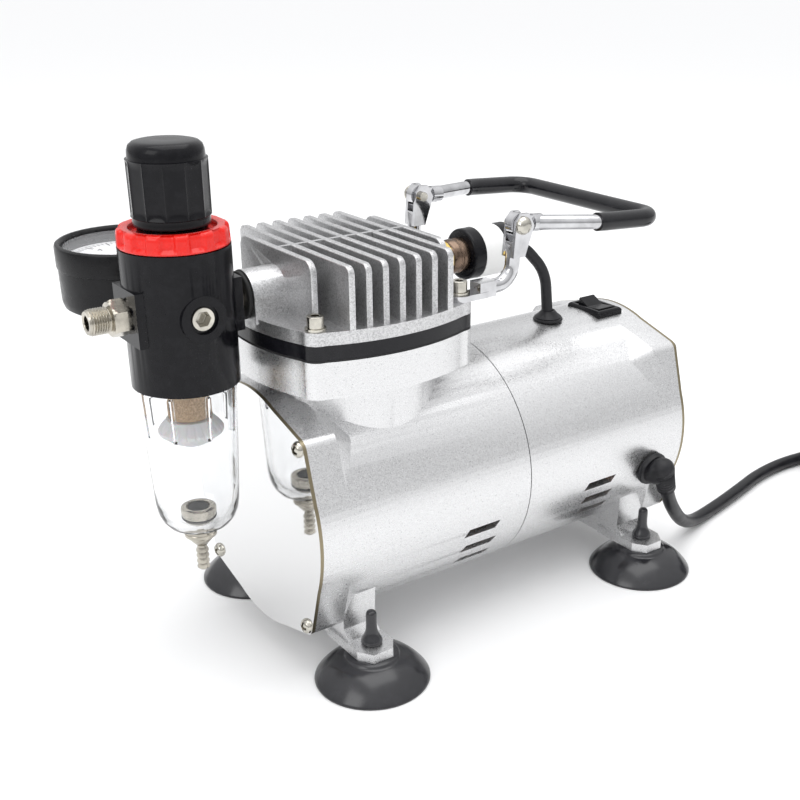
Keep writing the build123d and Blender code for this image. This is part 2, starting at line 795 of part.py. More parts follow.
def port_plug():
    plug = tube_y(-19.6, -12, 4.3, reg_x, port_z)
    cut = Plane.XZ.offset(20) * Pos(reg_x, port_z) * RegularPolygon(2.5, 6, major_radius=False)
    return plug - extrude(cut, -4.5)


def outlet_fitting():
    face = reg_x - 20.5
    body = hexagon_x(face - 6.3, face, 12.0, 0, port_z)
    body += turned_x([(outlet_tip, 0), (outlet_tip, 4.2), (outlet_tip + 0.7, thread_r),
                      (face - 6.3, thread_r), (face - 6.3, 0)], 0, port_z)
    body += tube_x(face, face + 9, 4.3, 0, port_z)
    return body - tube_x(outlet_tip - 1, face + 10, 2.6, 0, port_z)


def inlet_nipple():
    start = reg_x + 20.5
    body = tube_x(start - 9, head_boss_front + 9, 4.3, 0, port_z)
    body += hexagon_x(start, head_boss_front - 2.2, 12.0, 0, port_z)
    return body - tube_x(start - 10, head_boss_front + 10, 2.4, 0, port_z)


def inlet_seal():
    return tube_x(head_boss_front - 2.2, head_boss_front, 9.2, 0, port_z, 4.3)


# ---------------------------------------------------------------- gauge
def gauge_case():
    z0, z1 = gauge_bottom_z, gauge_top_z
    profile = [(0, z0), (gauge_r - 2.6, z0), (gauge_r - 0.9, z0 + 1.4), (gauge_r - 0.5, z0 + 3),
               (gauge_r - 0.5, z1 - 9.4), (gauge_r, z1 - 9.2), (gauge_r, z1 - 0.8), (gauge_r - 0.8, z1),
               (gauge_r - 2.2, z1), (gauge_r - 3.0, z1 - 1.2), (gauge_r - 3.0, z1 - 7.0), (0, z1 - 7.0)]
    return turned_z(profile, reg_x, gauge_y)


def gauge_dial():
    return tube_z(gauge_top_z - 7.0, gauge_top_z - 6.2, gauge_r - 3.2, reg_x, gauge_y)


def gauge_lens():
    return tube_z(gauge_top_z - 2.8, gauge_top_z - 1.4, gauge_r - 3.0, reg_x, gauge_y)


def gauge_needle():
    hub = tube_z(gauge_top_z - 6.1, gauge_top_z - 4.0, 2.4, reg_x, gauge_y)
    pointer = extrude(Plane.XY.offset(gauge_top_z - 5.2) * make_face(Polyline(
        (-0.9, 7), (0.9, 7), (0.35, -17), (-0.35, -17), close=True)), 0.6)
    return hub + Pos(reg_x, gauge_y, 0) * Rot(0, 0, gauge_rest) * pointer


def gauge_stem():
    return tube_y(11.5, gauge_y - gauge_r + 0.9, 4.3, reg_x, port_z)


# ---------------------------------------------------------------- feet, gland and cord
def suction_cup(x, y):
    profile = [(20.6, 0), (cup_r, 0), (cup_r, 0.9), (21.5, 3.6), (15, 8.2), (9.5, 11), (8.2, 12), (3.2, 12),
               (3.2, 16), (4.4, 16.4), (4.4, 17.4), (2.5, 20.5), (2.4, 28.6), (1.6, 30.4), (0, 31),
               (0, 8.0), (6, 7.4), (13, 5.0), (18.4, 2.2)]
    return turned_z(profile, x, y)


def suction_cups():
    spots = [(x, side * foot_y) for x in (foot_front_x, foot_rear_x) for side in (-1, 1)]
    return group([suction_cup(x, y) for x, y in spots])


def cord_radii(points):
    """Each corner's radius: 0.45 of its shorter run, over the tangent of half the turn."""
    radii = []
    for before, here, after in zip(points, points[1:], points[2:]):
        first = Vector(*here) - Vector(*before)
        second = Vector(*after) - Vector(*here)
        half_turn = math.radians(first.get_angle(second)) / 2
        radii.append(0.45 * min(first.length, second.length) / math.tan(half_turn))
    return radii


def power_cord():
    radii = cord_radii(cord_points)
    print("cord radii", [round(r, 1) for r in radii])
    path = FilletPolyline(*cord_points, radius=radii)
    tube = sweep(Plane(origin=path @ 0, z_dir=path % 0) * Circle(cord_r), path=path)
    print("cord tube length", round(path.length, 1), "volume ratio",
          round(tube.volume / (math.pi * cord_r ** 2 * path.length), 4))
    return tube


def cord_gland():
    """Right-angle relief: a plug in the housing wall, an elbow block and a short tail."""
    place = Pos(0, 0, axis_z) * Rot(gland_angle, 0, 0)
    root = place * Pos(gland_x, -barrel_r - 1, 0) * Rot(90, 0, 0) * Cylinder(5.0, 9)
    collar = place * Pos(gland_x, -barrel_r - 1.6, 0) * Rot(90, 0, 0) * Cylinder(7.4, 3)
    first = Vector(*cord_points[0])
    back = (first - Vector(*cord_points[1])).normalized()
    top = first + back * 11
    tail = Solid.make_cone(cord_r + 1.0, cord_r + 2.2, 11, plane=Plane(origin=first, z_dir=back))
    ball = Pos(*top) * Sphere(cord_r + 2.4)
    return root + collar + tail + ball


def cord_coil():
    outer = coil_turn_r + 2 * cord_r
    inner = coil_turn_r - 2 * cord_r
    ring = tube_z(0, coil_height, outer, coil_x, coil_y, inner)
    return fillet(ring.edges().filter_by(GeomType.CIRCLE), 2.4)


def mains_plug():
    """Flat two-pin plug lying on the coil, its pins towards the compressor."""
    body = Pos(plug_front + plug_length / 2, plug_y, plug_z) * Box(plug_length, plug_width, plug_t)
    body = fillet(body.edges().filter_by(Axis.Z), 6)
    body = fillet(body.edges().group_by(Axis.Z)[-1] + body.edges().group_by(Axis.Z)[0], 2)
    for side in (-1, 1):
        body += tube_x(plug_front - 19, plug_front + 1, 2.0, plug_y + side * 9.5, plug_z)
    back = Plane(origin=(plug_front + plug_length - 1, plug_y, plug_z), z_dir=(1, 0, 0))
    return body + Solid.make_cone(6.0, cord_r + 0.6, plug_relief + 1, plane=back)


nodes = {
    "front_housing": front_housing,
    "rear_housing": rear_housing,
    "front_plate": lambda: end_plate(0, plate_t),
    "rear_plate": lambda: end_plate(barrel_length - plate_t, barrel_length),
    "end_plate_screws": end_plate_screws,
    "cylinder_head": cylinder_head,
    "head_gasket": head_gasket,
    "valve_plate": valve_plate,
    "head_screws": head_screws,
    "head_washers": head_washers,
    "cylinder_sleeve": cylinder_sleeve,
    "piston": piston,
    "piston_ring": piston_ring,
    "connecting_rod": connecting_rod,
    "wrist_pin": wrist_pin,
    "crank": crank,
    "motor_shaft": motor_shaft,
    "rotor": rotor,
    "cooling_fan": cooling_fan,
    "stator": stator,
    "stator_windings": stator_windings,
    "motor_bearings": motor_bearings,
    "handle_brackets": handle_brackets,
    "handle_pivot_screws": handle_pivot_screws,
    "handle_rod": handle_rod,
    "handle_grip": handle_grip,
    "pressure_switch": pressure_switch,
    "switch_label": switch_label,
    "switch_fitting": switch_fitting,
    "switch_lead": switch_lead,
    "lead_grommet": lead_grommet,
    "rocker_frame": rocker_frame,
    "rocker_button": rocker_button,
    "regulator_body": regulator_body,
    "lock_ring": lock_ring,
    "adjusting_screw": adjusting_screw,
    "spring_seat": spring_seat,
    "regulator_spring": regulator_spring,
    "diaphragm": diaphragm,
    "regulator_knob": regulator_knob,
    "filter_bowl": filter_bowl,
    "filter_element": filter_element,
    "bowl_baffle": bowl_baffle,
    "drain_valve": drain_valve,
    "drain_nut": drain_nut,
    "port_plug": port_plug,
    "outlet_fitting": outlet_fitting,
    "inlet_nipple": inlet_nipple,
    "inlet_seal": inlet_seal,
    "gauge_case": gauge_case,
    "gauge_dial": gauge_dial,
    "gauge_lens": gauge_lens,
    "gauge_needle": gauge_needle,
    "gauge_stem": gauge_stem,
    "suction_cups": suction_cups,
    "cord_gland": cord_gland,
    "power_cord": power_cord,
    "cord_coil": cord_coil,
    "mains_plug": mains_plug,
}

os.makedirs("parts", exist_ok=True)
for name, make in nodes.items():
    shape = Pos(row_shift, 0, 0) * make()
    export_step(shape, f"parts/{name}.step")
print("nodes", len(nodes))
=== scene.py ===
import json
import math

import bmesh
import bpy
from mathutils import Matrix, Vector

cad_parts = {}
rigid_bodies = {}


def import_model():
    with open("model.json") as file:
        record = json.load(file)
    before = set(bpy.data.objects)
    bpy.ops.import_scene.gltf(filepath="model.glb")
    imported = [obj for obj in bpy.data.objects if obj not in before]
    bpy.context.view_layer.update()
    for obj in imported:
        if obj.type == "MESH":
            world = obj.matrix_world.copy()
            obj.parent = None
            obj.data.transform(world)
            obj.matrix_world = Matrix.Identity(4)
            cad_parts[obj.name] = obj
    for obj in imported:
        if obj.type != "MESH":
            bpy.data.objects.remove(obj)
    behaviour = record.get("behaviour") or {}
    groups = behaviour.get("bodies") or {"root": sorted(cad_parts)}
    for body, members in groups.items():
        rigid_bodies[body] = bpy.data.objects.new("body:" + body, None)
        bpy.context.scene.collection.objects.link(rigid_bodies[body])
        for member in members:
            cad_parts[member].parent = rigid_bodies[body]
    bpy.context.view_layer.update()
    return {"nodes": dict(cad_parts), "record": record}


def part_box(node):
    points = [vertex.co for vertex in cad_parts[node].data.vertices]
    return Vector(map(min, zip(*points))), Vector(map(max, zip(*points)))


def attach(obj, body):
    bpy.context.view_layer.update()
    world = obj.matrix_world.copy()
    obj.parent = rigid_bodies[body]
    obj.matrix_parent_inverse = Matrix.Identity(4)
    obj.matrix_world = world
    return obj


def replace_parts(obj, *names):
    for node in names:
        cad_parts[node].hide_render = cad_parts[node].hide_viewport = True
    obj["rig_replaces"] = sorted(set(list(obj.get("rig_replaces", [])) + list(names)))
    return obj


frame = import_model()
nodes = frame["nodes"]

# Airbrush compressor. Places are stations in millimetres: X from the front plate's outer face
# towards the rear, Y across, Z up from the surface that the cups stand on.
MM = 0.001
front_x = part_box("front_plate")[0].x


def at(x, y, z):
    return Vector((front_x + x * MM, y * MM, z * MM))


# ---------------------------------------------------------------- driving sizes, in millimetres
axis_z = 63.5
barrel_r = 51.0
barrel_length = 196.0
plate_screw_at = 38.0
reg_x = -24.5
port_z = 151.0
regulator_foot_z = 122.7
ring_z = 174.0
knob_z = 181.4
gauge_y = 47.4
gauge_r = 26.4
gauge_low_z = 141.0
gauge_top_z = 166.5
boss_face_x = -45.0
outlet_tip_x = -59.5
foot_spots = [(x, y) for x in (22.0, 173.5) for y in (-50.5, 50.5)]
cord_r = 3.25
gland_x = 176.0
gland_angle = math.radians(14.0)
coil_x = 366.0
coil_y = -60.0
plug_z = 33.5
plug_front_x = 318.0
plug_y = -84.0
pin_spacing = 19.0
dial_foot_z = gauge_top_z - 6.9
dial_top_z = gauge_top_z - 6.13
pointer_z = gauge_top_z - 5.2
gauge_sweep = 270.0
lead_x = 151.0
lead_y = -3.4

# ---------------------------------------------------------------- camera
camera_spot = at(-185.86, -377.23, 273.0)
camera_azimuth = math.radians(-36.363)
camera_elevation = math.radians(24.139)
camera_roll = math.radians(0.203)

camera_data = bpy.data.cameras.new("camera")
camera = bpy.data.objects.new("camera", camera_data)
bpy.context.scene.collection.objects.link(camera)
camera_turn = Matrix.Rotation(camera_azimuth, 4, "Z")
camera_turn @= Matrix.Rotation(math.radians(90) - camera_elevation, 4, "X")
camera_turn @= Matrix.Rotation(camera_roll, 4, "Z")
camera.matrix_world = Matrix.Translation(camera_spot) @ camera_turn
camera_data.lens = 51.52
camera_data.sensor_width = 36.0
camera_data.shift_x = -0.048
camera_data.shift_y = 0.0636
camera_data.clip_start = 0.01
bpy.context.scene.camera = camera


# ---------------------------------------------------------------- mesh helpers
def link(name, mesh):
    piece = bpy.data.objects.new(name, mesh)
    bpy.context.scene.collection.objects.link(piece)
    return piece


def smooth(piece, angle=35.0):
    """Smooth shading with creases where faces meet at more than the angle."""
    for polygon in piece.data.polygons:
        polygon.use_smooth = True
    piece.data.set_sharp_from_angle(angle=math.radians(angle))
    return piece


def from_bmesh(name, bm, angle=35.0):
    bmesh.ops.recalc_face_normals(bm, faces=bm.faces)
    mesh = bpy.data.meshes.new(name)
    bm.to_mesh(mesh)
    bm.free()
    return smooth(link(name, mesh), angle)


def soften(profile, rounds=2, closed=False):
    """Cuts the corners of a profile, so that it curves through its middle points."""
    for _ in range(rounds):
        pairs = list(zip(profile, profile[1:]))
        if closed:
            pairs.append((profile[-1], profile[0]))
        points = [] if closed else [profile[0]]
        for (r0, h0), (r1, h1) in pairs:
            points.append((0.75 * r0 + 0.25 * r1, 0.75 * h0 + 0.25 * h1))
            points.append((0.25 * r0 + 0.75 * r1, 0.25 * h0 + 0.75 * h1))
        if not closed:
            points.append(profile[-1])
        profile = points
    return profile


def turn_into(bm, profile, centre, axis="z", steps=96, ripple=None, closed=False):
    """Adds a turned surface made of (radius, height) points; ripple gives the radius at an angle."""
    rings = []
    for radius, height in profile:
        count = 1 if radius < 1e-6 else steps
        ring = []
        for step in range(count):
            angle = math.tau * step / steps
            local = ripple(angle, radius, height) if ripple and count > 1 else radius
            a = local * math.cos(angle)
            b = local * math.sin(angle)
            offset = {"z": (a, b, height), "x": (height, a, b), "y": (a, height, b)}[axis]
            ring.append(bm.verts.new(centre + Vector(offset) * MM))
        rings.append(ring)
    pairs = list(zip(rings, rings[1:]))
    if closed:
        pairs.append((rings[-1], rings[0]))
    for low, high in pairs:
        for step in range(steps):
            after = (step + 1) % steps
            corners = [low[step % len(low)], low[after % len(low)],
                       high[after % len(high)], high[step % len(high)]]
            corners = list(dict.fromkeys(corners))
            if len(corners) > 2:
                bm.faces.new(corners)


def turned(name, profile, centre, axis="z", steps=96, ripple=None, closed=False, angle=35.0):
    bm = bmesh.new()
    turn_into(bm, profile, centre, axis, steps, ripple, closed)
    return from_bmesh(name, bm, angle)


def tube_into(bm, points, radii, steps, across):
    """Adds a tube along points, with a radius at each; across is where each ring of points starts."""
    rings = []
    for index, point in enumerate(points):
        before = points[max(index - 1, 0)]
        after = points[min(index + 1, len(points) - 1)]
        along = (after - before).normalized()
        side = across - along * across.dot(along)
        side.normalize()
        up = along.cross(side)
        ring = []
        for step in range(steps):
            angle = math.tau * step / steps
            offset = side * math.cos(angle) + up * math.sin(angle)
            ring.append(bm.verts.new(point + offset * radii[index] * MM))
        rings.append(ring)
    for low, high in zip(rings, rings[1:]):
        for step in range(steps):
            after = (step + 1) % steps
            bm.faces.new((low[step], low[after], high[after], high[step]))
    bm.faces.new(rings[0][::-1])
    bm.faces.new(rings[-1])


def curve_through(points, samples=10):
    """Points along a smooth quadratic curve that has these points as its corners."""
    result = [points[0]]
    for index in range(1, len(points) - 1):
        start = points[0] if index == 1 else (points[index - 1] + points[index]) / 2
        end = points[-1] if index == len(points) - 2 else (points[index] + points[index + 1]) / 2
        for sample in range(1, samples + 1):
            t = sample / samples
            result.append((1 - t) ** 2 * start + 2 * t * (1 - t) * points[index] + t ** 2 * end)
    return result


def hexagon(across, chamfer_r, low, high, depth=0.8):
    """A ripple that makes a chamfered hexagon between two heights and leaves the rest round."""
    def ripple(angle, radius, height):
        if not low <= height <= high or radius < 0.45 * across:
            return radius
        turn = (angle + math.pi / 6) % (math.pi / 3) - math.pi / 6
        flat = across / 2 / math.cos(turn)
        inset = min(height - low, high - height)
        return min(flat, chamfer_r + inset / depth * (0.5773 * across - chamfer_r))
    return ripple


def rounded(node, width):
    """A new piece with a CAD node's shape and its edges rounded off; the node's own mesh stays as it is."""
    bm = bmesh.new()
    bm.from_mesh(nodes[node].data)
    bmesh.ops.remove_doubles(bm, verts=bm.verts, dist=2e-6)
    bmesh.ops.dissolve_limit(bm, angle_limit=math.radians(0.6), verts=bm.verts, edges=bm.edges)
    piece = from_bmesh(f"{node}_finished", bm)
    bevel = piece.modifiers.new("edges", "BEVEL")
    bevel.width = width * MM
    bevel.segments = 2
    bevel.limit_method = "ANGLE"
    bevel.angle_limit = math.radians(28.0)
    bevel.use_clamp_overlap = True
    bevel.harden_normals = True
    graph = bpy.context.evaluated_depsgraph_get()
    mesh = bpy.data.meshes.new_from_object(piece.evaluated_get(graph))
    piece.modifiers.clear()
    piece.data = mesh
    return piece


# ---------------------------------------------------------------- material helpers
class Finish:
    """A Principled material on object coordinates, with a few node helpers."""

    def __init__(self, name, colour, metallic=0.0, roughness=0.5, **sockets):
        self.material = bpy.data.materials.new(name)
        self.material.use_nodes = True
        self.tree = self.material.node_tree
        self.shader = self.tree.nodes["Principled BSDF"]
        self.coordinates = self.tree.nodes.new("ShaderNodeTexCoord").outputs["Object"]
        self.put("Base Color", (*colour, 1.0))
        self.put("Metallic", metallic)
        self.put("Roughness", roughness)
        for socket, value in sockets.items():
            self.put(socket.replace("_", " "), value)

    def put(self, socket, value):
        self.shader.inputs[socket].default_value = value

    def node(self, kind, inputs=(), **settings):
        node = self.tree.nodes.new(kind)
        for key, value in settings.items():
            setattr(node, key, value)
        for socket, value in inputs:
            if isinstance(value, bpy.types.NodeSocket):
                self.tree.links.new(value, node.inputs[socket])
            else:
                node.inputs[socket].default_value = value
        return node

    def noise(self, scale, detail=2.0, rough=0.5, stretch=None):
        place = self.coordinates
        if stretch:
            mapping = self.node("ShaderNodeMapping", [("Vector", place)])
            mapping.inputs["Scale"].default_value = stretch
            place = mapping.outputs["Vector"]
        return self.node("ShaderNodeTexNoise", [
            ("Vector", place), ("Scale", scale), ("Detail", detail), ("Roughness", rough),
        ]).outputs["Fac"]

    def flakes(self, scale):
        cells = self.node("ShaderNodeTexVoronoi", [("Vector", self.coordinates), ("Scale", scale)])
        parts = self.node("ShaderNodeSeparateColor", [("Color", cells.outputs["Color"])])
        return parts.outputs["Red"]

    def span(self, value, low, high, start=0.0, end=1.0):
        return self.node("ShaderNodeMapRange", [
            ("Value", value), ("From Min", start), ("From Max", end), ("To Min", low), ("To Max", high),
        ]).outputs["Result"]

    def mix(self, factor, first, second):
        node = self.node("ShaderNodeMix", data_type="RGBA")
        self.tree.links.new(factor, node.inputs["Factor"])
        for socket, value in ((node.inputs[6], first), (node.inputs[7], second)):
            if isinstance(value, bpy.types.NodeSocket):
                self.tree.links.new(value, socket)
            else:
                socket.default_value = (*value, 1.0)
        return node.outputs[2]

    def drive(self, socket, value):
        self.tree.links.new(value, self.shader.inputs[socket])

    def bump(self, height, strength, distance):
        node = self.node("ShaderNodeBump", [("Height", height), ("Strength", strength),
                                            ("Distance", distance * MM)])
        previous = self.shader.inputs["Normal"]
        if previous.is_linked:
            self.tree.links.new(previous.links[0].from_socket, node.inputs["Normal"])
        self.tree.links.new(node.outputs["Normal"], previous)

    def facing(self, axis):
        """The size of the surface normal along one row axis."""
        normal = self.node("ShaderNodeNewGeometry").outputs["Normal"]
        parts = self.node("ShaderNodeSeparateXYZ", [("Vector", normal)])
        return self.node("ShaderNodeMath", [(0, parts.outputs[axis])], operation="ABSOLUTE").outputs[0]


def silver_paint(name, dark, light, flake_scale, speck_share, lump_scale, lump, roughness):
    """Metallic spray paint on cast metal: fine bright flakes, a few dark specks, a slight texture."""
    f = Finish(name, light, metallic=0.93, roughness=roughness, Coat_Weight=0.12, Coat_Roughness=0.22)
    cells = f.flakes(flake_scale)
    soft = f.noise(flake_scale * 0.3, 3.0, 0.6)
    flake = f.mix(f.span(cells, 0.0, 1.0, 0.0, 0.9), dark, light)
    cloud = f.mix(f.span(soft, 0.0, 0.55, 0.3, 0.7), flake, [0.90 * c for c in light])
    specks = f.flakes(flake_scale * 0.8)
    speckled = f.mix(f.span(specks, 0.6, 0.0, 0.0, speck_share), cloud, [0.45 * c for c in light])
    f.drive("Base Color", speckled)
    f.drive("Roughness", f.span(cells, roughness - 0.07, roughness + 0.10))
    f.bump(f.noise(lump_scale, 3.0, 0.55), lump, 0.10)
    f.bump(f.noise(flake_scale, 1.0), 0.06, 0.04)
    return f.material


def mirror_metal():
    """Polished plate: faint wipe marks on the face, and a duller brassy cut edge."""
    f = Finish("mirror_plate", (0.86, 0.855, 0.84), metallic=1.0, roughness=0.04)
    face = f.span(f.facing("X"), 0.0, 1.0, 0.5, 0.9)
    f.drive("Base Color", f.mix(face, (0.28, 0.24, 0.16), (0.765, 0.765, 0.765)))
    wipe = f.noise(40.0, 4.0, 0.6, (1.0, 1.0, 6.0))
    polish = f.span(wipe, 0.025, 0.075, 0.35, 0.7)
    edge = f.span(f.noise(900.0, 2.0), 0.25, 0.4)
    blend = f.node("ShaderNodeMix", data_type="FLOAT")
    f.tree.links.new(face, blend.inputs["Factor"])
    f.tree.links.new(edge, blend.inputs[2])
    f.tree.links.new(polish, blend.inputs[3])
    f.drive("Roughness", blend.outputs[0])
    f.bump(f.noise(9.0, 2.0), 0.05, 0.5)
    return f.material


def bare_metal(name, colour, roughness, grain=1400.0, stretch=None, tarnish=0.75):
    """Plated or turned metal: fine tool grain, and slightly darker, duller patches."""
    f = Finish(name, colour, metallic=1.0, roughness=roughness)
    patches = f.noise(160.0, 3.0, 0.6)
    f.drive("Base Color", f.mix(f.span(patches, 0.0, 1.0, 0.35, 0.75), colour,
                                [tarnish * c for c in colour]))
    fine = f.noise(grain, 3.0, 0.6, stretch)
    f.drive("Roughness", f.span(fine, 0.7 * roughness, 1.5 * roughness, 0.3, 0.7))
    f.bump(fine, 0.12, 0.03)
    return f.material


def moulded(name, colour, roughness, texture=900.0, relief=0.08, coat=0.0, scuff=1.5, gloss=0.3):
    """Moulded plastic, rubber or enamel: faint texture, uneven gloss and a few light scuffs."""
    f = Finish(name, colour, roughness=roughness, Coat_Weight=coat, Coat_Roughness=0.12,
               Specular_IOR_Level=gloss)
    marks = f.noise(260.0, 5.0, 0.65)
    f.drive("Base Color", f.mix(f.span(marks, 0.0, 1.0, 0.45, 0.8), colour,
                                [min(1.0, scuff * c + 0.004) for c in colour]))
    fine = f.noise(texture, 3.0, 0.55)
    f.drive("Roughness", f.span(marks, 0.8 * roughness, 1.35 * roughness, 0.3, 0.72))
    f.bump(fine, relief, 0.06)
    return f.material


def clear_plastic(name, tint, roughness, ior):
    f = Finish(name, tint, roughness=roughness, Transmission_Weight=1.0, IOR=ior)
    haze = f.noise(120.0, 4.0, 0.6)
    f.drive("Roughness", f.span(haze, 0.6 * roughness, 1.6 * roughness, 0.35, 0.7))
    f.bump(f.noise(60.0, 2.0), 0.02, 0.1)
    return f.material


def thin_window():
    """Thin flat window, clear enough that the dial behind it stays bright."""
    f = Finish("gauge_glass", (0.97, 0.98, 1.0), roughness=0.04, Alpha=0.12)
    f.drive("Roughness", f.span(f.noise(150.0, 3.0), 0.02, 0.09))
    return f.material


def sintered():
    f = Finish("filter_tan", (0.50, 0.33, 0.17), roughness=0.8)
    grains = f.flakes(2600.0)
    f.drive("Base Color", f.mix(grains, (0.34, 0.205, 0.10), (0.62, 0.43, 0.25)))
    f.bump(grains, 0.6, 0.15)
    return f.material


def laminated():
    """Stacked steel sheets, seen as fine lines across the stack."""
    f = Finish("laminations", (0.22, 0.22, 0.23), metallic=0.8, roughness=0.5)
    lines = f.noise(1.0, 0.0, 0.5, (2400.0, 4.0, 4.0))
    f.drive("Base Color", f.mix(lines, (0.08, 0.08, 0.085), (0.38, 0.38, 0.39)))
    f.bump(lines, 0.4, 0.1)
    return f.material


def white_plastic(name, colour, milky):
    f = Finish(name, colour, roughness=0.4, Transmission_Weight=milky, IOR=1.45,
               Subsurface_Weight=0.25, Subsurface_Scale=0.004)
    f.drive("Roughness", f.span(f.noise(300.0, 3.0), 0.3, 0.5))
    f.bump(f.noise(1500.0, 2.0), 0.05, 0.05)
    return f.material


finishes = {
    "housing_paint": silver_paint("housing_paint", (0.66, 0.66, 0.665), (0.79, 0.79, 0.795), 3200.0, 0.03,
                                  420.0, 0.05, 0.31),
    "head_paint": silver_paint("head_paint", (0.40, 0.40, 0.405), (0.72, 0.72, 0.725), 2600.0, 0.16,
                               700.0, 0.22, 0.36),
    "mirror_plate": mirror_metal(),
    "nickel_screws": bare_metal("nickel_screws", (0.62, 0.595, 0.53), 0.15, tarnish=0.6),
    "black_plate": moulded("black_plate", (0.006, 0.006, 0.008), 0.2, 700.0, 0.15),
    "gasket": moulded("gasket", (0.018, 0.018, 0.019), 0.7, 1500.0, 0.3),
    "cylinder_steel": bare_metal("cylinder_steel", (0.55, 0.56, 0.58), 0.25, 900.0, (12.0, 1.0, 1.0)),
    "piston_alloy": bare_metal("piston_alloy", (0.72, 0.73, 0.74), 0.3),
    "ptfe": moulded("ptfe", (0.62, 0.60, 0.55), 0.5),
    "cast_crank": bare_metal("cast_crank", (0.18, 0.18, 0.18), 0.55, 500.0),
    "laminations": laminated(),
    "copper": bare_metal("copper", (0.72, 0.33, 0.16), 0.3, 1200.0, (1.0, 6.0, 6.0)),
    "fan_plastic": moulded("fan_plastic", (0.02, 0.02, 0.022), 0.5),
    "chrome_rod": bare_metal("chrome_rod", (0.66, 0.66, 0.675), 0.07, 1600.0, None, 0.7),
    "grip_vinyl": moulded("grip_vinyl", (0.006, 0.006, 0.008), 0.19, 300.0, 0.04, gloss=0.4),
    "black_plastic": moulded("black_plastic", (0.005, 0.005, 0.0065), 0.17, 1100.0, 0.05, gloss=0.2),
    "label_white": moulded("label_white", (0.86, 0.86, 0.85), 0.45, 1800.0, 0.1, 0.0, 0.96),
    "brass": bare_metal("brass", (0.76, 0.55, 0.17), 0.2),
    "nickel_fittings": bare_metal("nickel_fittings", (0.56, 0.525, 0.455), 0.19, 1100.0, tarnish=0.55),
    "lead_pvc": moulded("lead_pvc", (0.012, 0.012, 0.014), 0.36, 700.0, 0.12),
    "red_ring": moulded("red_ring", (0.80, 0.012, 0.006), 0.26, 900.0, 0.06, coat=0.35, scuff=0.9),
    "inner_steel": bare_metal("inner_steel", (0.5, 0.5, 0.5), 0.3),
    "diaphragm_rubber": moulded("diaphragm_rubber", (0.012, 0.012, 0.012), 0.5, 1200.0, 0.15),
    "clear_bowl": clear_plastic("clear_bowl", (0.985, 0.99, 0.995), 0.015, 1.46),
    "filter_tan": sintered(),
    "baffle_white": white_plastic("baffle_white", (0.96, 0.96, 0.965), 0.0),
    "gauge_black": moulded("gauge_black", (0.006, 0.006, 0.007), 0.28, 900.0, 0.10, gloss=0.22),
    "dial_white": moulded("dial_white", (0.88, 0.88, 0.89), 0.5, 1800.0, 0.03, 0.0, 0.98),
    "gauge_glass": thin_window(),
    "needle_red": moulded("needle_red", (0.45, 0.02, 0.015), 0.3),
    "foot_rubber": moulded("foot_rubber", (0.012, 0.012, 0.015), 0.20, 380.0, 0.05, gloss=0.65),
    "plug_black": moulded("plug_black", (0.012, 0.012, 0.013), 0.38, 600.0, 0.18),
}
# The switch collar's own colour; the record has no slot for it.
bronze = bare_metal("bronze", (0.22, 0.155, 0.115), 0.22, tarnish=0.5)


def finish_piece(piece, slot_name, body="root", replaced=()):
    piece.data.materials.clear()
    piece.data.materials.append(finishes[slot_name])
    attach(piece, body)
    if replaced:
        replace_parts(piece, *replaced)
    return piece


# ---------------------------------------------------------------- mains cord, gland and plug
cord_route = [
    (180.2, -56.6, 44.0),
    (186.0, -53.8, 34.0),
    (194.6, -50.4, 23.5),
    (205.5, -46.0, 13.0),
    (218.5, -41.0, 5.6),
    (234.0, -36.6, 3.25),
    (252.0, -32.8, 3.25),
    (273.0, -27.6, 3.25),
    (294.0, -21.8, 3.25),
    (318.0, -19.4, 3.25),
    (342.0, -22.6, 3.25),
]


def ease(value, start, length):
    """0 before start, 1 after start + length, and a smooth step between them."""
    t = min(1.0, max(0.0, (value - start) / length))
    return t * t * (3 - 2 * t)


def coil_route(step=15):
    """Turns in two columns and four layers, then a last swing inwards and up to the plug."""
    inner = 32.75
    outer = 39.25
    layer = 2 * cord_r
    shift_length = 90
    rise_length = 60
    end_angle = 2340
    swing_start = 2190
    moves = []
    start = 270
    for index in range(7):
        length = rise_length if index % 2 else shift_length
        if index:
            start += 360 - length
        moves.append((index, start, length))
    route = []
    for angle in range(0, end_angle + 1, step):
        radius = outer
        height = cord_r
        for index, begin, length in moves:
            share = ease(angle, begin, length)
            if index % 2:
                height += layer * share
            else:
                inwards = 1 if index % 4 == 0 else -1
                radius -= inwards * (outer - inner) * share
        radius += (24.0 - outer) * ease(angle, swing_start + 30, end_angle - swing_start - 30)
        height += (plug_z - 4 * layer + cord_r) * ease(angle, swing_start - 20, end_angle - swing_start)
        reach = radius / math.cos(math.radians(step / 2))
        turn = math.radians(angle)
        route.append((coil_x + reach * math.sin(turn), coil_y + reach * math.cos(turn), height))
    route.append((coil_x - 5.0, plug_y, plug_z))
    return route


def mains_cord():
    curve = bpy.data.curves.new("mains_cord", "CURVE")
    curve.dimensions = "3D"
    spline = curve.splines.new("NURBS")
    points = [at(*p) for p in cord_route + coil_route()]
    spline.points.add(len(points) - 1)
    for point, place in zip(spline.points, points):
        point.co = (*place, 1.0)
    spline.order_u = 3
    spline.use_endpoint_u = True
    spline.resolution_u = 6
    curve.bevel_depth = cord_r * MM
    curve.bevel_resolution = 6
    curve.use_fill_caps = True
    return link("mains_cord", curve)


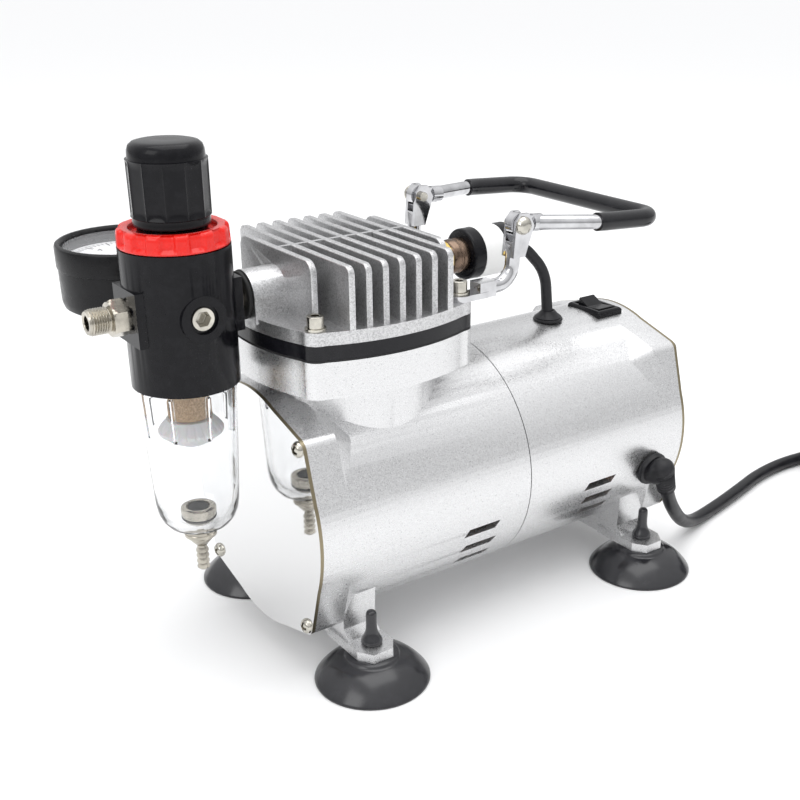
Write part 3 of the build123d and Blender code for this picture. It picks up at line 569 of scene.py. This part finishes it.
def cord_relief():
    """Right-angle relief: a collar on the barrel, a domed elbow and a ribbed, tapering tail."""
    outward = Vector((0, -math.cos(gland_angle), -math.sin(gland_angle)))
    wall = at(gland_x, 0, axis_z) + outward * barrel_r * MM
    first = at(*cord_route[0])
    back = (first - at(*cord_route[1])).normalized()
    bm = bmesh.new()
    collar = [wall + outward * d * MM for d in (-4.0, -0.3, 0.6, 2.2, 3.2, 3.6)]
    tube_into(bm, collar, [4.9, 4.9, 7.9, 8.1, 7.7, 6.4], 48, Vector((1, 0, 0)))
    elbow = curve_through([
        wall + outward * 2.0 * MM, wall + outward * 5.5 * MM, first + back * 12.5 * MM,
        first + back * 8.0 * MM, first - back * 3.0 * MM,
    ], 16)
    radii = []
    for index in range(len(elbow)):
        share = index / (len(elbow) - 1)
        radius = 6.4 - 2.2 * share
        if share > 0.55:
            radius += 0.32 * math.cos(share * 150.0)
        if share < 0.1:
            radius = 5.4 + 10.0 * share
        radii.append(radius)
    tube_into(bm, elbow, radii, 48, Vector((1, 0, 0)))
    dome = [(0.0, 5.4), (2.3, 5.1), (4.2, 3.9), (5.3, 2.0), (5.6, 0.0), (5.0, -2.4), (3.6, -4.2),
            (0.0, -5.0)]
    turn_into(bm, soften(dome, 2), first + back * 11.0 * MM - outward * 0.4 * MM, "z", 48)
    return from_bmesh("cord_relief", bm, 40.0)


def mains_plug():
    """Body of a flat two-pin plug: a waisted shell with a parting line and a ribbed relief; the pins are
    built apart.
    """
    length, width, thickness = 34.0, 26.0, 15.0
    bm = bmesh.new()
    stations = 40
    rows = []
    for index in range(stations + 1):
        share = index / stations
        x = plug_front_x + (length + 13.6) * share
        body = 1.0 - ease(share, 0.52, 0.34)
        waist = 1.0 - 0.07 * math.sin(math.pi * min(1.0, share / 0.55))
        half_w = (3.9 + (width / 2 - 3.9) * body) * waist
        half_t = 3.9 + (thickness / 2 - 3.9) * body
        end = min(1.0, share / 0.05)
        lip = math.sqrt(max(0.0, 1 - (1 - end) ** 2)) * 1.2 - 1.2
        if share > 0.8:
            half_w += 0.35 * math.cos(share * 190.0)
            half_t += 0.35 * math.cos(share * 190.0)
        row = []
        for step in range(64):
            angle = math.tau * step / 64
            power = 2.0 / (2.0 + 3.0 * body)
            c = math.copysign(abs(math.cos(angle)) ** power, math.cos(angle))
            s = math.copysign(abs(math.sin(angle)) ** power, math.sin(angle))
            seam = 0.15 if abs(math.sin(angle)) < 0.04 and 0.05 < share < 0.6 else 0.0
            row.append(bm.verts.new(at(x, plug_y + (half_w + lip - seam) * c,
                                       plug_z + (half_t + lip - seam) * s)))
        rows.append(row)
    for low, high in zip(rows, rows[1:]):
        for step in range(64):
            after = (step + 1) % 64
            bm.faces.new((low[step], low[after], high[after], high[step]))
    bm.faces.new(rows[0][::-1])
    bm.faces.new(rows[-1])
    return from_bmesh("plug_body", bm, 45.0)


def plug_pins():
    bm = bmesh.new()
    for side in (-1, 1):
        centre = at(plug_front_x, plug_y + side * pin_spacing / 2, plug_z)
        pin = [(0.0, -18.9), (1.2, -18.9), (1.9, -18.2), (2.0, -17.0), (2.0, -9.6), (1.85, -9.5),
               (1.85, -0.5),
               (2.0, 1.0), (0.0, 1.0)]
        turn_into(bm, pin, centre, "x", 32)
    return from_bmesh("plug_pins", bm)


cord = finish_piece(mains_cord(), "lead_pvc", "root", ("power_cord", "cord_coil"))
relief = finish_piece(cord_relief(), "lead_pvc", "root", ("cord_gland",))
plug = finish_piece(mains_plug(), "plug_black", "root", ("mains_plug",))
pins = finish_piece(plug_pins(), "nickel_screws")


# ---------------------------------------------------------------- regulator
def knob():
    """Pull-up knob: twelve wide, shallow flutes between narrow ridges, under a smooth cap."""
    low, high = knob_z + 3.2, knob_z + 22.6

    def flutes(angle, radius, height):
        if radius < 13.9 or not low <= height <= high:
            return radius
        wave = abs(math.sin(6 * angle)) ** 0.5
        fade = min(1.0, (height - low) / 1.4, (high - height) / 0.8)
        return radius - 0.75 * wave * fade

    cap = [(0.0, 28.6), (4.0, 28.75), (9.6, 28.6), (11.4, 28.2), (12.6, 27.2), (13.2, 25.6), (13.35, 23.6)]
    body = [(r, knob_z + z) for r, z in cap] + [(13.4, high + 0.25), (13.9, high + 0.1)]
    levels = 14
    body += [(14.15 - 0.1 * index / levels, high - (high - low) * index / levels)
             for index in range(levels + 1)]
    body += [(13.9, low - 0.1), (13.6, low - 0.3), (13.5, low - 0.9), (13.65, low - 1.6),
             (13.65, knob_z + 0.1),
             (12.7, knob_z + 0.1), (12.6, knob_z + 2.5), (4.2, knob_z + 2.5), (4.2, knob_z + 14.1),
             (0.0, knob_z + 14.1)]
    return turned("knob_finished", body, at(reg_x, 0, 0), steps=288, ripple=flutes)


def lock_ring():
    def scallops(angle, radius, height):
        if radius < 18.8:
            return radius
        wave = max(0.0, math.cos(12 * angle) + 0.35) / 1.35
        share = ease(height, ring_z + 1.0, 1.0)
        return radius - 1.5 * min(1.0, 1.9 * wave) * share

    z = ring_z
    loop = [(12.7, 0.15), (19.3, 0.1), (19.75, 0.4), (19.9, 0.9), (19.9, 1.5), (19.9, 2.1), (19.85, 2.7),
            (19.8, 3.6), (19.75, 4.6), (19.7, 5.6), (19.4, 6.4), (18.9, 6.85), (18.2, 7.0), (16.2, 7.0),
            (15.6, 6.7), (15.2, 5.6), (15.1, 4.6), (12.7, 4.6)]
    loop = [(r, z + h) for r, h in loop]
    return turned("lock_ring_finished", loop, at(reg_x, 0, 0), steps=288, ripple=scallops,
                  closed=True)


def outlet():
    """Threaded nipple: a real helix of 28 threads to the inch, behind it a chamfered hexagon."""
    pitch = 25.4 / 28
    start = outlet_tip_x + 0.6
    end = boss_face_x - 6.9
    hexed = hexagon(12.0, 6.1, boss_face_x - 6.3, boss_face_x)

    def shape(angle, radius, height):
        if start <= height <= end and radius > 4.0:
            phase = (height / pitch + angle / math.tau) % 1.0
            tooth = 1.0 - abs(2 * phase - 1.0)
            fade = min(1.0, (height - start) / 0.5, (end - height) / 0.5)
            return 4.28 + 0.56 * (tooth * fade + (1 - fade) * 0.3)
        return hexed(angle, radius, height)

    rows = 110
    loop = [(2.6, outlet_tip_x + 0.3), (2.9, outlet_tip_x), (4.1, outlet_tip_x), (4.3, outlet_tip_x + 0.3)]
    loop += [(4.5, start + (end - start) * index / rows) for index in range(rows + 1)]
    loop += [(4.2, boss_face_x - 6.4)]
    loop += [(6.9, boss_face_x - 6.3 + 6.3 * index / 12) for index in range(13)]
    loop += [(4.2, boss_face_x + 0.01), (4.2, boss_face_x + 6.0), (2.6, boss_face_x + 6.0)]
    return turned("outlet_finished", loop, at(0, 0, port_z), "x", 96, shape, True, 30.0)


def inlet():
    low, high = reg_x + 20.5, -1.4
    loop = [(2.4, low - 8.0), (4.2, low - 8.0), (4.2, low - 0.01)]
    loop += [(6.9, low + (high - low) * index / 8) for index in range(9)]
    loop += [(4.2, high + 0.01), (4.2, 9.5), (2.4, 9.5)]
    return turned("inlet_finished", loop, at(0, 0, port_z), "x", 96,
                  hexagon(12.0, 6.3, low, high, 0.5), True, 30.0)


def seal_ring():
    loop = [(4.5, -1.35), (8.6, -1.35), (9.1, -1.0), (9.2, -0.3), (9.1, 0.4), (8.6, 0.75), (4.5, 0.75)]
    return turned("inlet_seal_finished", soften(loop, 1, True), at(0, 0, port_z), "x", 64, None, True)


finish_piece(knob(), "black_plastic", "knob", ("regulator_knob",))
finish_piece(lock_ring(), "red_ring", "root", ("lock_ring",))
finish_piece(outlet(), "nickel_fittings", "root", ("outlet_fitting",))
finish_piece(inlet(), "nickel_fittings", "root", ("inlet_nipple",))
finish_piece(seal_ring(), "diaphragm_rubber", "root", ("inlet_seal",))


# ---------------------------------------------------------------- filter bowl and drain
def bowl():
    """Clear bowl with eight short ribs inside its mouth."""
    top = regulator_foot_z

    def ribs(angle, radius, height):
        if not 104.0 < height < 121.0 or radius > 17.0:
            return radius
        near = abs((angle + math.pi / 8) % (math.pi / 4) - math.pi / 8)
        return radius - 1.3 * ease(0.055 - near, 0.0, 0.03)

    outer = [(3.5, 61.6), (7.0, 61.6), (9.5, 62.3), (12.2, 64.0), (14.2, 66.6), (15.5, 70.0), (16.1, 74.0),
             (16.4, 80.0), (17.4, 100.0), (18.2, 117.0), (18.35, 119.5), (18.5, top - 0.1)]
    inner = [(16.9, top - 0.1), (16.55, 121.2), (16.5, 120.6), (16.45, 119.8), (15.75, 105.2), (15.7, 104.2),
             (15.65, 103.4), (14.5, 80.0), (14.1, 75.0), (13.3, 71.0), (11.6, 67.6), (9.4, 65.4), (7.2, 64.5),
             (3.5, 64.5)]
    return turned("bowl_finished", outer + inner, at(reg_x, 0, 0), steps=240, ripple=ribs,
                  closed=True, angle=50.0)


def filter_cartridge():
    loop = [(3.0, 108.7), (7.4, 108.7), (7.9, 109.3), (8.0, 110.0), (8.0, 128.0), (3.0, 128.0)]
    return turned("filter_cartridge", loop, at(reg_x, 0, 0), steps=64, closed=True)


def baffle():
    """White baffle: a shallow cone whose rim is cut into fine swirl teeth."""
    def teeth(angle, radius, height):
        if radius < 11.0:
            return radius
        return radius - 0.5 * max(0.0, math.cos(24 * angle))

    shape = [(0.0, 97.1), (4.0, 97.2), (8.0, 99.4), (12.0, 102.6), (12.3, 103.2), (12.3, 104.1),
             (11.4, 105.3),
             (9.4, 107.4), (8.8, 108.3), (0.0, 108.4)]
    return turned("baffle_finished", shape, at(reg_x, 0, 0), steps=192, ripple=teeth)


def drain_seat():
    """Clamp ring inside the bowl and flange nut under it."""
    bm = bmesh.new()
    inside = [(3.45, 64.6), (6.6, 64.6), (6.6, 66.0), (7.0, 66.2), (7.05, 66.6), (7.05, 69.4), (6.8, 70.1),
              (6.2, 70.5), (4.9, 70.5), (4.65, 70.3), (4.65, 68.6), (3.45, 68.6)]
    outside = [(2.6, 60.3), (5.4, 60.3), (5.4, 57.5), (5.9, 57.5), (6.35, 58.0), (6.4, 59.2),
               (6.2, 59.5), (6.4, 59.8),
               (6.4, 61.2), (6.1, 61.5), (3.3, 61.55), (3.3, 64.5), (2.6, 64.5)]
    turn_into(bm, inside, at(reg_x, 0, 0), "z", 96, None, True)
    turn_into(bm, outside, at(reg_x, 0, 0), "z", 96, None, True)
    return from_bmesh("drain_seat", bm)


def drain_seal():
    loop = [(6.6, 64.9), (7.1, 65.0), (7.25, 65.4), (7.1, 65.8), (6.6, 65.95)]
    return turned("drain_seal", soften(loop, 1, True), at(reg_x, 0, 0), steps=64, closed=True)


def drain_stem():
    """Push-up stem with a cone flange and a barb of four ridges."""
    shape = [(0.0, 42.5), (1.7, 42.5), (2.0, 42.9)]
    for ring in range(4):
        z = 43.2 + 2.4 * ring
        shape += [(2.5, z), (2.55, z + 0.5), (1.95, z + 1.9), (1.9, z + 2.1)]
    shape += [(2.0, 53.2), (2.5, 53.7), (4.6, 56.2), (4.75, 56.6), (4.7, 56.9), (2.4, 57.0), (2.4, 68.6)]
    shape += [(4.1, 68.9), (4.15, 69.5), (3.9, 69.6), (0.0, 69.6)]
    return turned("drain_stem", shape, at(reg_x, 0, 0), steps=64)


def drain_poppet():
    shape = [(0.0, 69.65), (3.9, 69.65), (4.1, 69.8), (4.0, 70.1), (3.4, 70.2), (0.0, 70.15)]
    return turned("drain_poppet", shape, at(reg_x, 0, 0), steps=64)


finish_piece(bowl(), "clear_bowl", "root", ("filter_bowl",))
finish_piece(filter_cartridge(), "filter_tan", "root", ("filter_element",))
finish_piece(baffle(), "baffle_white", "root", ("bowl_baffle",))
finish_piece(drain_seat(), "nickel_fittings", "root", ("drain_nut",))
finish_piece(drain_seal(), "diaphragm_rubber")
finish_piece(drain_stem(), "nickel_fittings", "drain", ("drain_valve",))
finish_piece(drain_poppet(), "diaphragm_rubber", "drain")


# ---------------------------------------------------------------- gauge
def gauge_case():
    low, top = gauge_low_z, gauge_top_z
    r = gauge_r
    shape = [(0.0, low + 0.1), (r - 4.2, low + 0.1), (r - 2.6, low + 0.2), (r - 1.3, low + 1.1),
             (r - 0.8, low + 2.6),
             (r - 0.6, low + 4.0), (r - 0.5, top - 9.8), (r - 0.5, top - 9.4), (r - 0.1, top - 9.1),
             (r, top - 8.6), (r, top - 1.4), (r - 0.3, top - 0.5), (r - 1.0, top - 0.05),
             (r - 1.8, top - 0.05),
             (r - 2.5, top - 0.6), (r - 3.0, top - 1.6), (r - 3.05, top - 6.9), (0.0, top - 6.95)]
    return turned("gauge_case_finished", shape, at(reg_x, gauge_y, 0), steps=144)


def gauge_face():
    """Dial plate: a thin flat disc with a small chamfer round its top edge."""
    z = dial_foot_z
    r = gauge_r - 3.2
    shape = [(0.0, z), (r, z), (r, z + 0.7), (r - 0.3, z + 0.75), (0.0, z + 0.75)]
    return turned("gauge_face", shape, at(reg_x, gauge_y, 0), steps=96)


def dial_direction(share):
    """Unit vector on the dial for a reading from 0 to 1; zero stands where the pointer rests."""
    angle = math.radians(225.0 - gauge_sweep * share)
    return Vector((math.cos(angle), math.sin(angle), 0))


def dial_marks():
    """Fifty steps of fine marks, every fifth one long, as thin raised bars."""
    bm = bmesh.new()
    z = dial_top_z
    for index in range(51):
        out = dial_direction(index / 50)
        side = Vector((-out.y, out.x, 0))
        long_mark = index % 5 == 0
        inner, outer = (16.6 if long_mark else 18.6), 20.8
        half = 0.28 if long_mark else 0.14
        corners = []
        for height in (0.0, 0.06):
            for reach, across in ((inner, -half), (outer, -half), (outer, half), (inner, half)):
                place = at(reg_x, gauge_y, z + height) + (out * reach + side * across) * MM
                corners.append(bm.verts.new(place))
        bm.faces.new(corners[0:4])
        bm.faces.new(corners[4:8])
        for a, b in ((0, 1), (1, 2), (2, 3), (3, 0)):
            bm.faces.new((corners[a], corners[b], corners[b + 4], corners[a + 4]))
    return from_bmesh("dial_marks", bm)


def dial_numbers():
    """Plain figures from 0 to 10, every second one."""
    meshes = []
    for number in range(0, 11, 2):
        text = bpy.data.curves.new(f"figure_{number}", "FONT")
        text.body = str(number)
        text.size = 4.4 * MM
        text.extrude = 0.03 * MM
        text.align_x = "CENTER"
        text.align_y = "CENTER"
        holder = link(f"figure_{number}", text)
        out = dial_direction(number / 10)
        holder.location = at(reg_x, gauge_y, gauge_top_z - 6.10) + out * 13.2 * MM
        bpy.context.view_layer.update()
        graph = bpy.context.evaluated_depsgraph_get()
        mesh = bpy.data.meshes.new_from_object(holder.evaluated_get(graph))
        mesh.transform(holder.matrix_world)
        meshes.append(mesh)
        bpy.data.objects.remove(holder)
    bm = bmesh.new()
    for mesh in meshes:
        bm.from_mesh(mesh)
        bpy.data.meshes.remove(mesh)
    return from_bmesh("dial_numbers", bm)


def gauge_window():
    z = gauge_top_z - 2.8
    r = gauge_r - 3.1
    shape = [(0.0, z), (r, z), (r, z + 1.0), (r * 0.7, z + 1.4), (r * 0.35, z + 1.6), (0.0, z + 1.65)]
    return turned("gauge_window", shape, at(reg_x, gauge_y, 0), steps=96, angle=40.0)


def pointer():
    """Tapered needle with a round hub and a short tail."""
    bm = bmesh.new()
    z = pointer_z
    out = dial_direction(0.0)
    side = Vector((-out.y, out.x, 0))
    outline = [(-7.0, 0.9), (-6.0, 1.2), (-2.0, 0.7), (8.0, 0.6), (17.2, 0.12)]
    outline += [(reach, -across) for reach, across in reversed(outline)]
    low = [bm.verts.new(at(reg_x, gauge_y, z) + (out * u + side * v) * MM) for u, v in outline]
    high = [bm.verts.new(at(reg_x, gauge_y, z + 0.5) + (out * u + side * v) * MM) for u, v in outline]
    bm.faces.new(low[::-1])
    bm.faces.new(high)
    for index in range(len(outline)):
        after = (index + 1) % len(outline)
        bm.faces.new((low[index], low[after], high[after], high[index]))
    hub = [(0.0, -0.8), (2.2, -0.8), (2.35, 0.8), (1.7, 1.2), (0.0, 1.25)]
    turn_into(bm, hub, at(reg_x, gauge_y, z), "z", 48)
    return from_bmesh("pointer", bm)


finish_piece(gauge_case(), "gauge_black", "root", ("gauge_case",))
finish_piece(gauge_face(), "dial_white", "root", ("gauge_dial",))
finish_piece(dial_marks(), "gauge_black")
finish_piece(dial_numbers(), "gauge_black")
finish_piece(gauge_window(), "gauge_glass", "root", ("gauge_lens",))
finish_piece(pointer(), "needle_red", "needle", ("gauge_needle",))


# ---------------------------------------------------------------- feet
def suction_cups():
    """Four cups with a stepped neck, a flared lip and the pull-through nipple over each pad."""
    neck = [(3.1, 15.9), (3.1, 12.0), (8.6, 11.95), (10.4, 11.6), (11.0, 10.9), (11.3, 10.4)]
    flare = [(12.2, 10.15), (14.6, 9.2), (17.6, 7.2), (20.4, 4.6), (22.4, 2.3), (23.3, 1.1), (23.5, 0.5),
             (23.3, 0.05), (22.4, 0.0), (20.7, 0.0)]
    under = [(19.6, 1.2), (17.0, 3.6), (13.0, 5.8), (8.0, 7.4), (0.0, 8.0)]
    nipple = [(0.0, 31.0), (1.3, 30.8), (2.0, 30.0), (2.2, 28.8), (2.15, 25.0), (2.3, 22.4),
              (2.8, 20.6), (3.6, 19.0),
              (4.3, 17.6), (4.3, 16.5), (3.8, 16.05), (3.1, 16.0)]
    bm = bmesh.new()
    for x, y in foot_spots:
        turn_into(bm, soften(nipple, 1) + neck + soften(flare, 1) + under, at(x, y, 0), "z", 96)
    return from_bmesh("suction_cups_finished", bm, 50.0)


finish_piece(suction_cups(), "foot_rubber", "root", ("suction_cups",))


# ---------------------------------------------------------------- pressure switch and its lead
def switch_collar():
    """Round bronze-grey collar between the hexagon and the switch."""
    shape = [(3.0, 95.1), (6.4, 95.1), (6.9, 95.5), (7.2, 96.4), (7.3, 98.4), (6.9, 98.9),
             (6.9, 99.6), (7.3, 100.1),
             (7.4, 102.9), (3.0, 102.9)]
    return turned("switch_collar", shape, at(0, 0, port_z), "x", 96, None, True)


def switch_hexagon():
    low, high = 86.5, 95.0
    loop = [(2.0, low + 0.01), (5.0, low)]
    loop += [(7.1, low + (high - low) * index / 12) for index in range(13)]
    loop += [(5.0, high), (2.0, high)]
    return turned("switch_hexagon", loop, at(0, 0, port_z), "x", 96,
                  hexagon(12.5, 6.5, low, high), True, 30.0)


def grommet():
    """Trumpet-shaped grommet with two rings round its foot."""
    shape = [(2.55, 112.6), (3.5, 112.6), (3.5, 114.4), (6.5, 114.5), (6.8, 114.9), (6.6, 115.4),
             (6.0, 115.7),
             (6.1, 116.1), (5.5, 116.6), (4.5, 117.4), (3.7, 118.3), (3.2, 118.9), (2.55, 119.0)]
    return turned("grommet_finished", shape, at(lead_x, lead_y, 0), steps=64, closed=True)


finish_piece(switch_hexagon(), "brass", "root", ("switch_fitting",))
switch_collar_piece = finish_piece(switch_collar(), "nickel_fittings")
switch_collar_piece.material_slots[0].material = bronze
finish_piece(grommet(), "lead_pvc", "root", ("lead_grommet",))

# ---------------------------------------------------------------- end plate screws
plate_screw_spots = [(side_x, side_y, side_z)
                     for side_x in (-1, 1) for side_y in (-1, 1) for side_z in (-1, 1)]


def pan_screws():
    """Pan-head screws with a cross recess, each turned its own way."""
    bm = bmesh.new()
    head = [(0.0, 2.2)] + [(3.1 * math.sin(t), 2.2 * math.cos(t) ** 0.8) for t in
                           [math.radians(4 * step) for step in range(1, 22)]]
    head += [(3.2, 0.1), (3.2, 0.0), (1.7, 0.0), (1.7, -7.0), (0.0, -7.0)]
    half_width, half_length, depth = 0.5, 2.0, 1.4
    for index, (side_x, side_y, side_z) in enumerate(plate_screw_spots):
        base = at(0.0 if side_x < 0 else barrel_length, side_y * plate_screw_at,
                  axis_z + side_z * plate_screw_at)
        before = len(bm.verts)
        turn_into(bm, [(r, side_x * h) for r, h in head], base, "x", 120)
        bm.verts.ensure_lookup_table()
        turn = math.radians(23 * index)
        for vert in bm.verts[before:]:
            offset = (vert.co - base) / MM
            u = abs(offset.y * math.cos(turn) + offset.z * math.sin(turn))
            v = abs(offset.z * math.cos(turn) - offset.y * math.sin(turn))
            if offset.x * side_x > 0.8 and min(u, v) < half_width and max(u, v) < half_length:
                vert.co.x -= side_x * depth * MM * (1.0 - 0.35 * max(u, v) / half_length)
    return from_bmesh("end_plate_screws_finished", bm, 40.0)


finish_piece(pan_screws(), "nickel_screws", "root", ("end_plate_screws",))


# ---------------------------------------------------------------- CAD shapes with rounded edges
# The radius in millimetres that each node's sharp edges get.
edge_roundings = {
    "front_housing": 0.5, "rear_housing": 0.5, "cylinder_head": 0.45, "valve_plate": 0.3,
    "handle_brackets": 0.8, "head_screws": 0.2, "head_washers": 0.15, "regulator_body": 0.6,
    "rocker_frame": 0.3,
    "rocker_button": 0.5, "pressure_switch": 0.2, "front_plate": 0.12, "rear_plate": 0.12, "port_plug": 0.3,
    "handle_pivot_screws": 0.2,
}
slot_of = {entry["node"]: entry["material_slot"] for entry in frame["record"]["subparts"]}
body_of = {node: body for body, members in frame["record"]["behaviour"]["bodies"].items() for node in members}
for node, width in edge_roundings.items():
    finish_piece(rounded(node, width), slot_of[node], body_of[node], (node,))

# The other CAD nodes keep their own meshes, and only get a material.
replaced_nodes = {name for piece in bpy.data.objects for name in piece.get("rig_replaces", [])}
for node, piece in nodes.items():
    if node in replaced_nodes:
        continue
    for material_slot in piece.material_slots:
        material_slot.material = finishes[slot_of[node]]


# ---------------------------------------------------------------- floor, light and surroundings
def floor():
    mesh = bpy.data.meshes.new("floor")
    half = 14.0
    corners = [(-half, -half, 0), (half, -half, 0), (half, half, 0), (-half, half, 0)]
    mesh.from_pydata(corners, [], [(0, 1, 2, 3)])
    piece = link("floor", mesh)
    f = Finish("floor", (0.93, 0.93, 0.93), roughness=0.7)
    f.bump(f.noise(60.0, 2.0), 0.02, 0.1)
    mesh.materials.append(f.material)


def area_light(name, spot, target, size, power, colour=(1, 1, 1)):
    data = bpy.data.lights.new(name, "AREA")
    data.shape = "RECTANGLE"
    data.size, data.size_y = size
    data.energy = power
    data.color = colour
    lamp = link(name, data)
    lamp.location = spot
    lamp.rotation_euler = (Vector(target) - Vector(spot)).to_track_quat("-Z", "Y").to_euler()


def studio():
    """Soft white room: brightest overhead, dimmer round the horizon."""
    world = bpy.data.worlds.new("studio")
    world.use_nodes = True
    tree = world.node_tree
    place = tree.nodes.new("ShaderNodeTexCoord")
    parts = tree.nodes.new("ShaderNodeSeparateXYZ")
    tree.links.new(place.outputs["Generated"], parts.inputs["Vector"])
    rise = tree.nodes.new("ShaderNodeMapRange")
    rise.inputs["From Min"].default_value = 0.0
    rise.inputs["From Max"].default_value = 1.0
    rise.inputs["To Min"].default_value = 0.50
    rise.inputs["To Max"].default_value = 1.35
    tree.links.new(parts.outputs["Z"], rise.inputs["Value"])
    background = tree.nodes["Background"]
    background.inputs["Color"].default_value = (0.985, 0.99, 1.0, 1.0)
    tree.links.new(rise.outputs["Result"], background.inputs["Strength"])
    bpy.context.scene.world = world


floor()
studio()
centre = at(70, 0, 80)
area_light("overhead", centre + Vector((0.1, 0.0, 1.2)), centre, (1.2, 1.2), 7.0)
area_light("left_window", centre + Vector((-1.3, -0.4, 0.9)), centre, (0.8, 0.8), 4.0)
bpy.context.scene.view_settings.view_transform = "Standard"
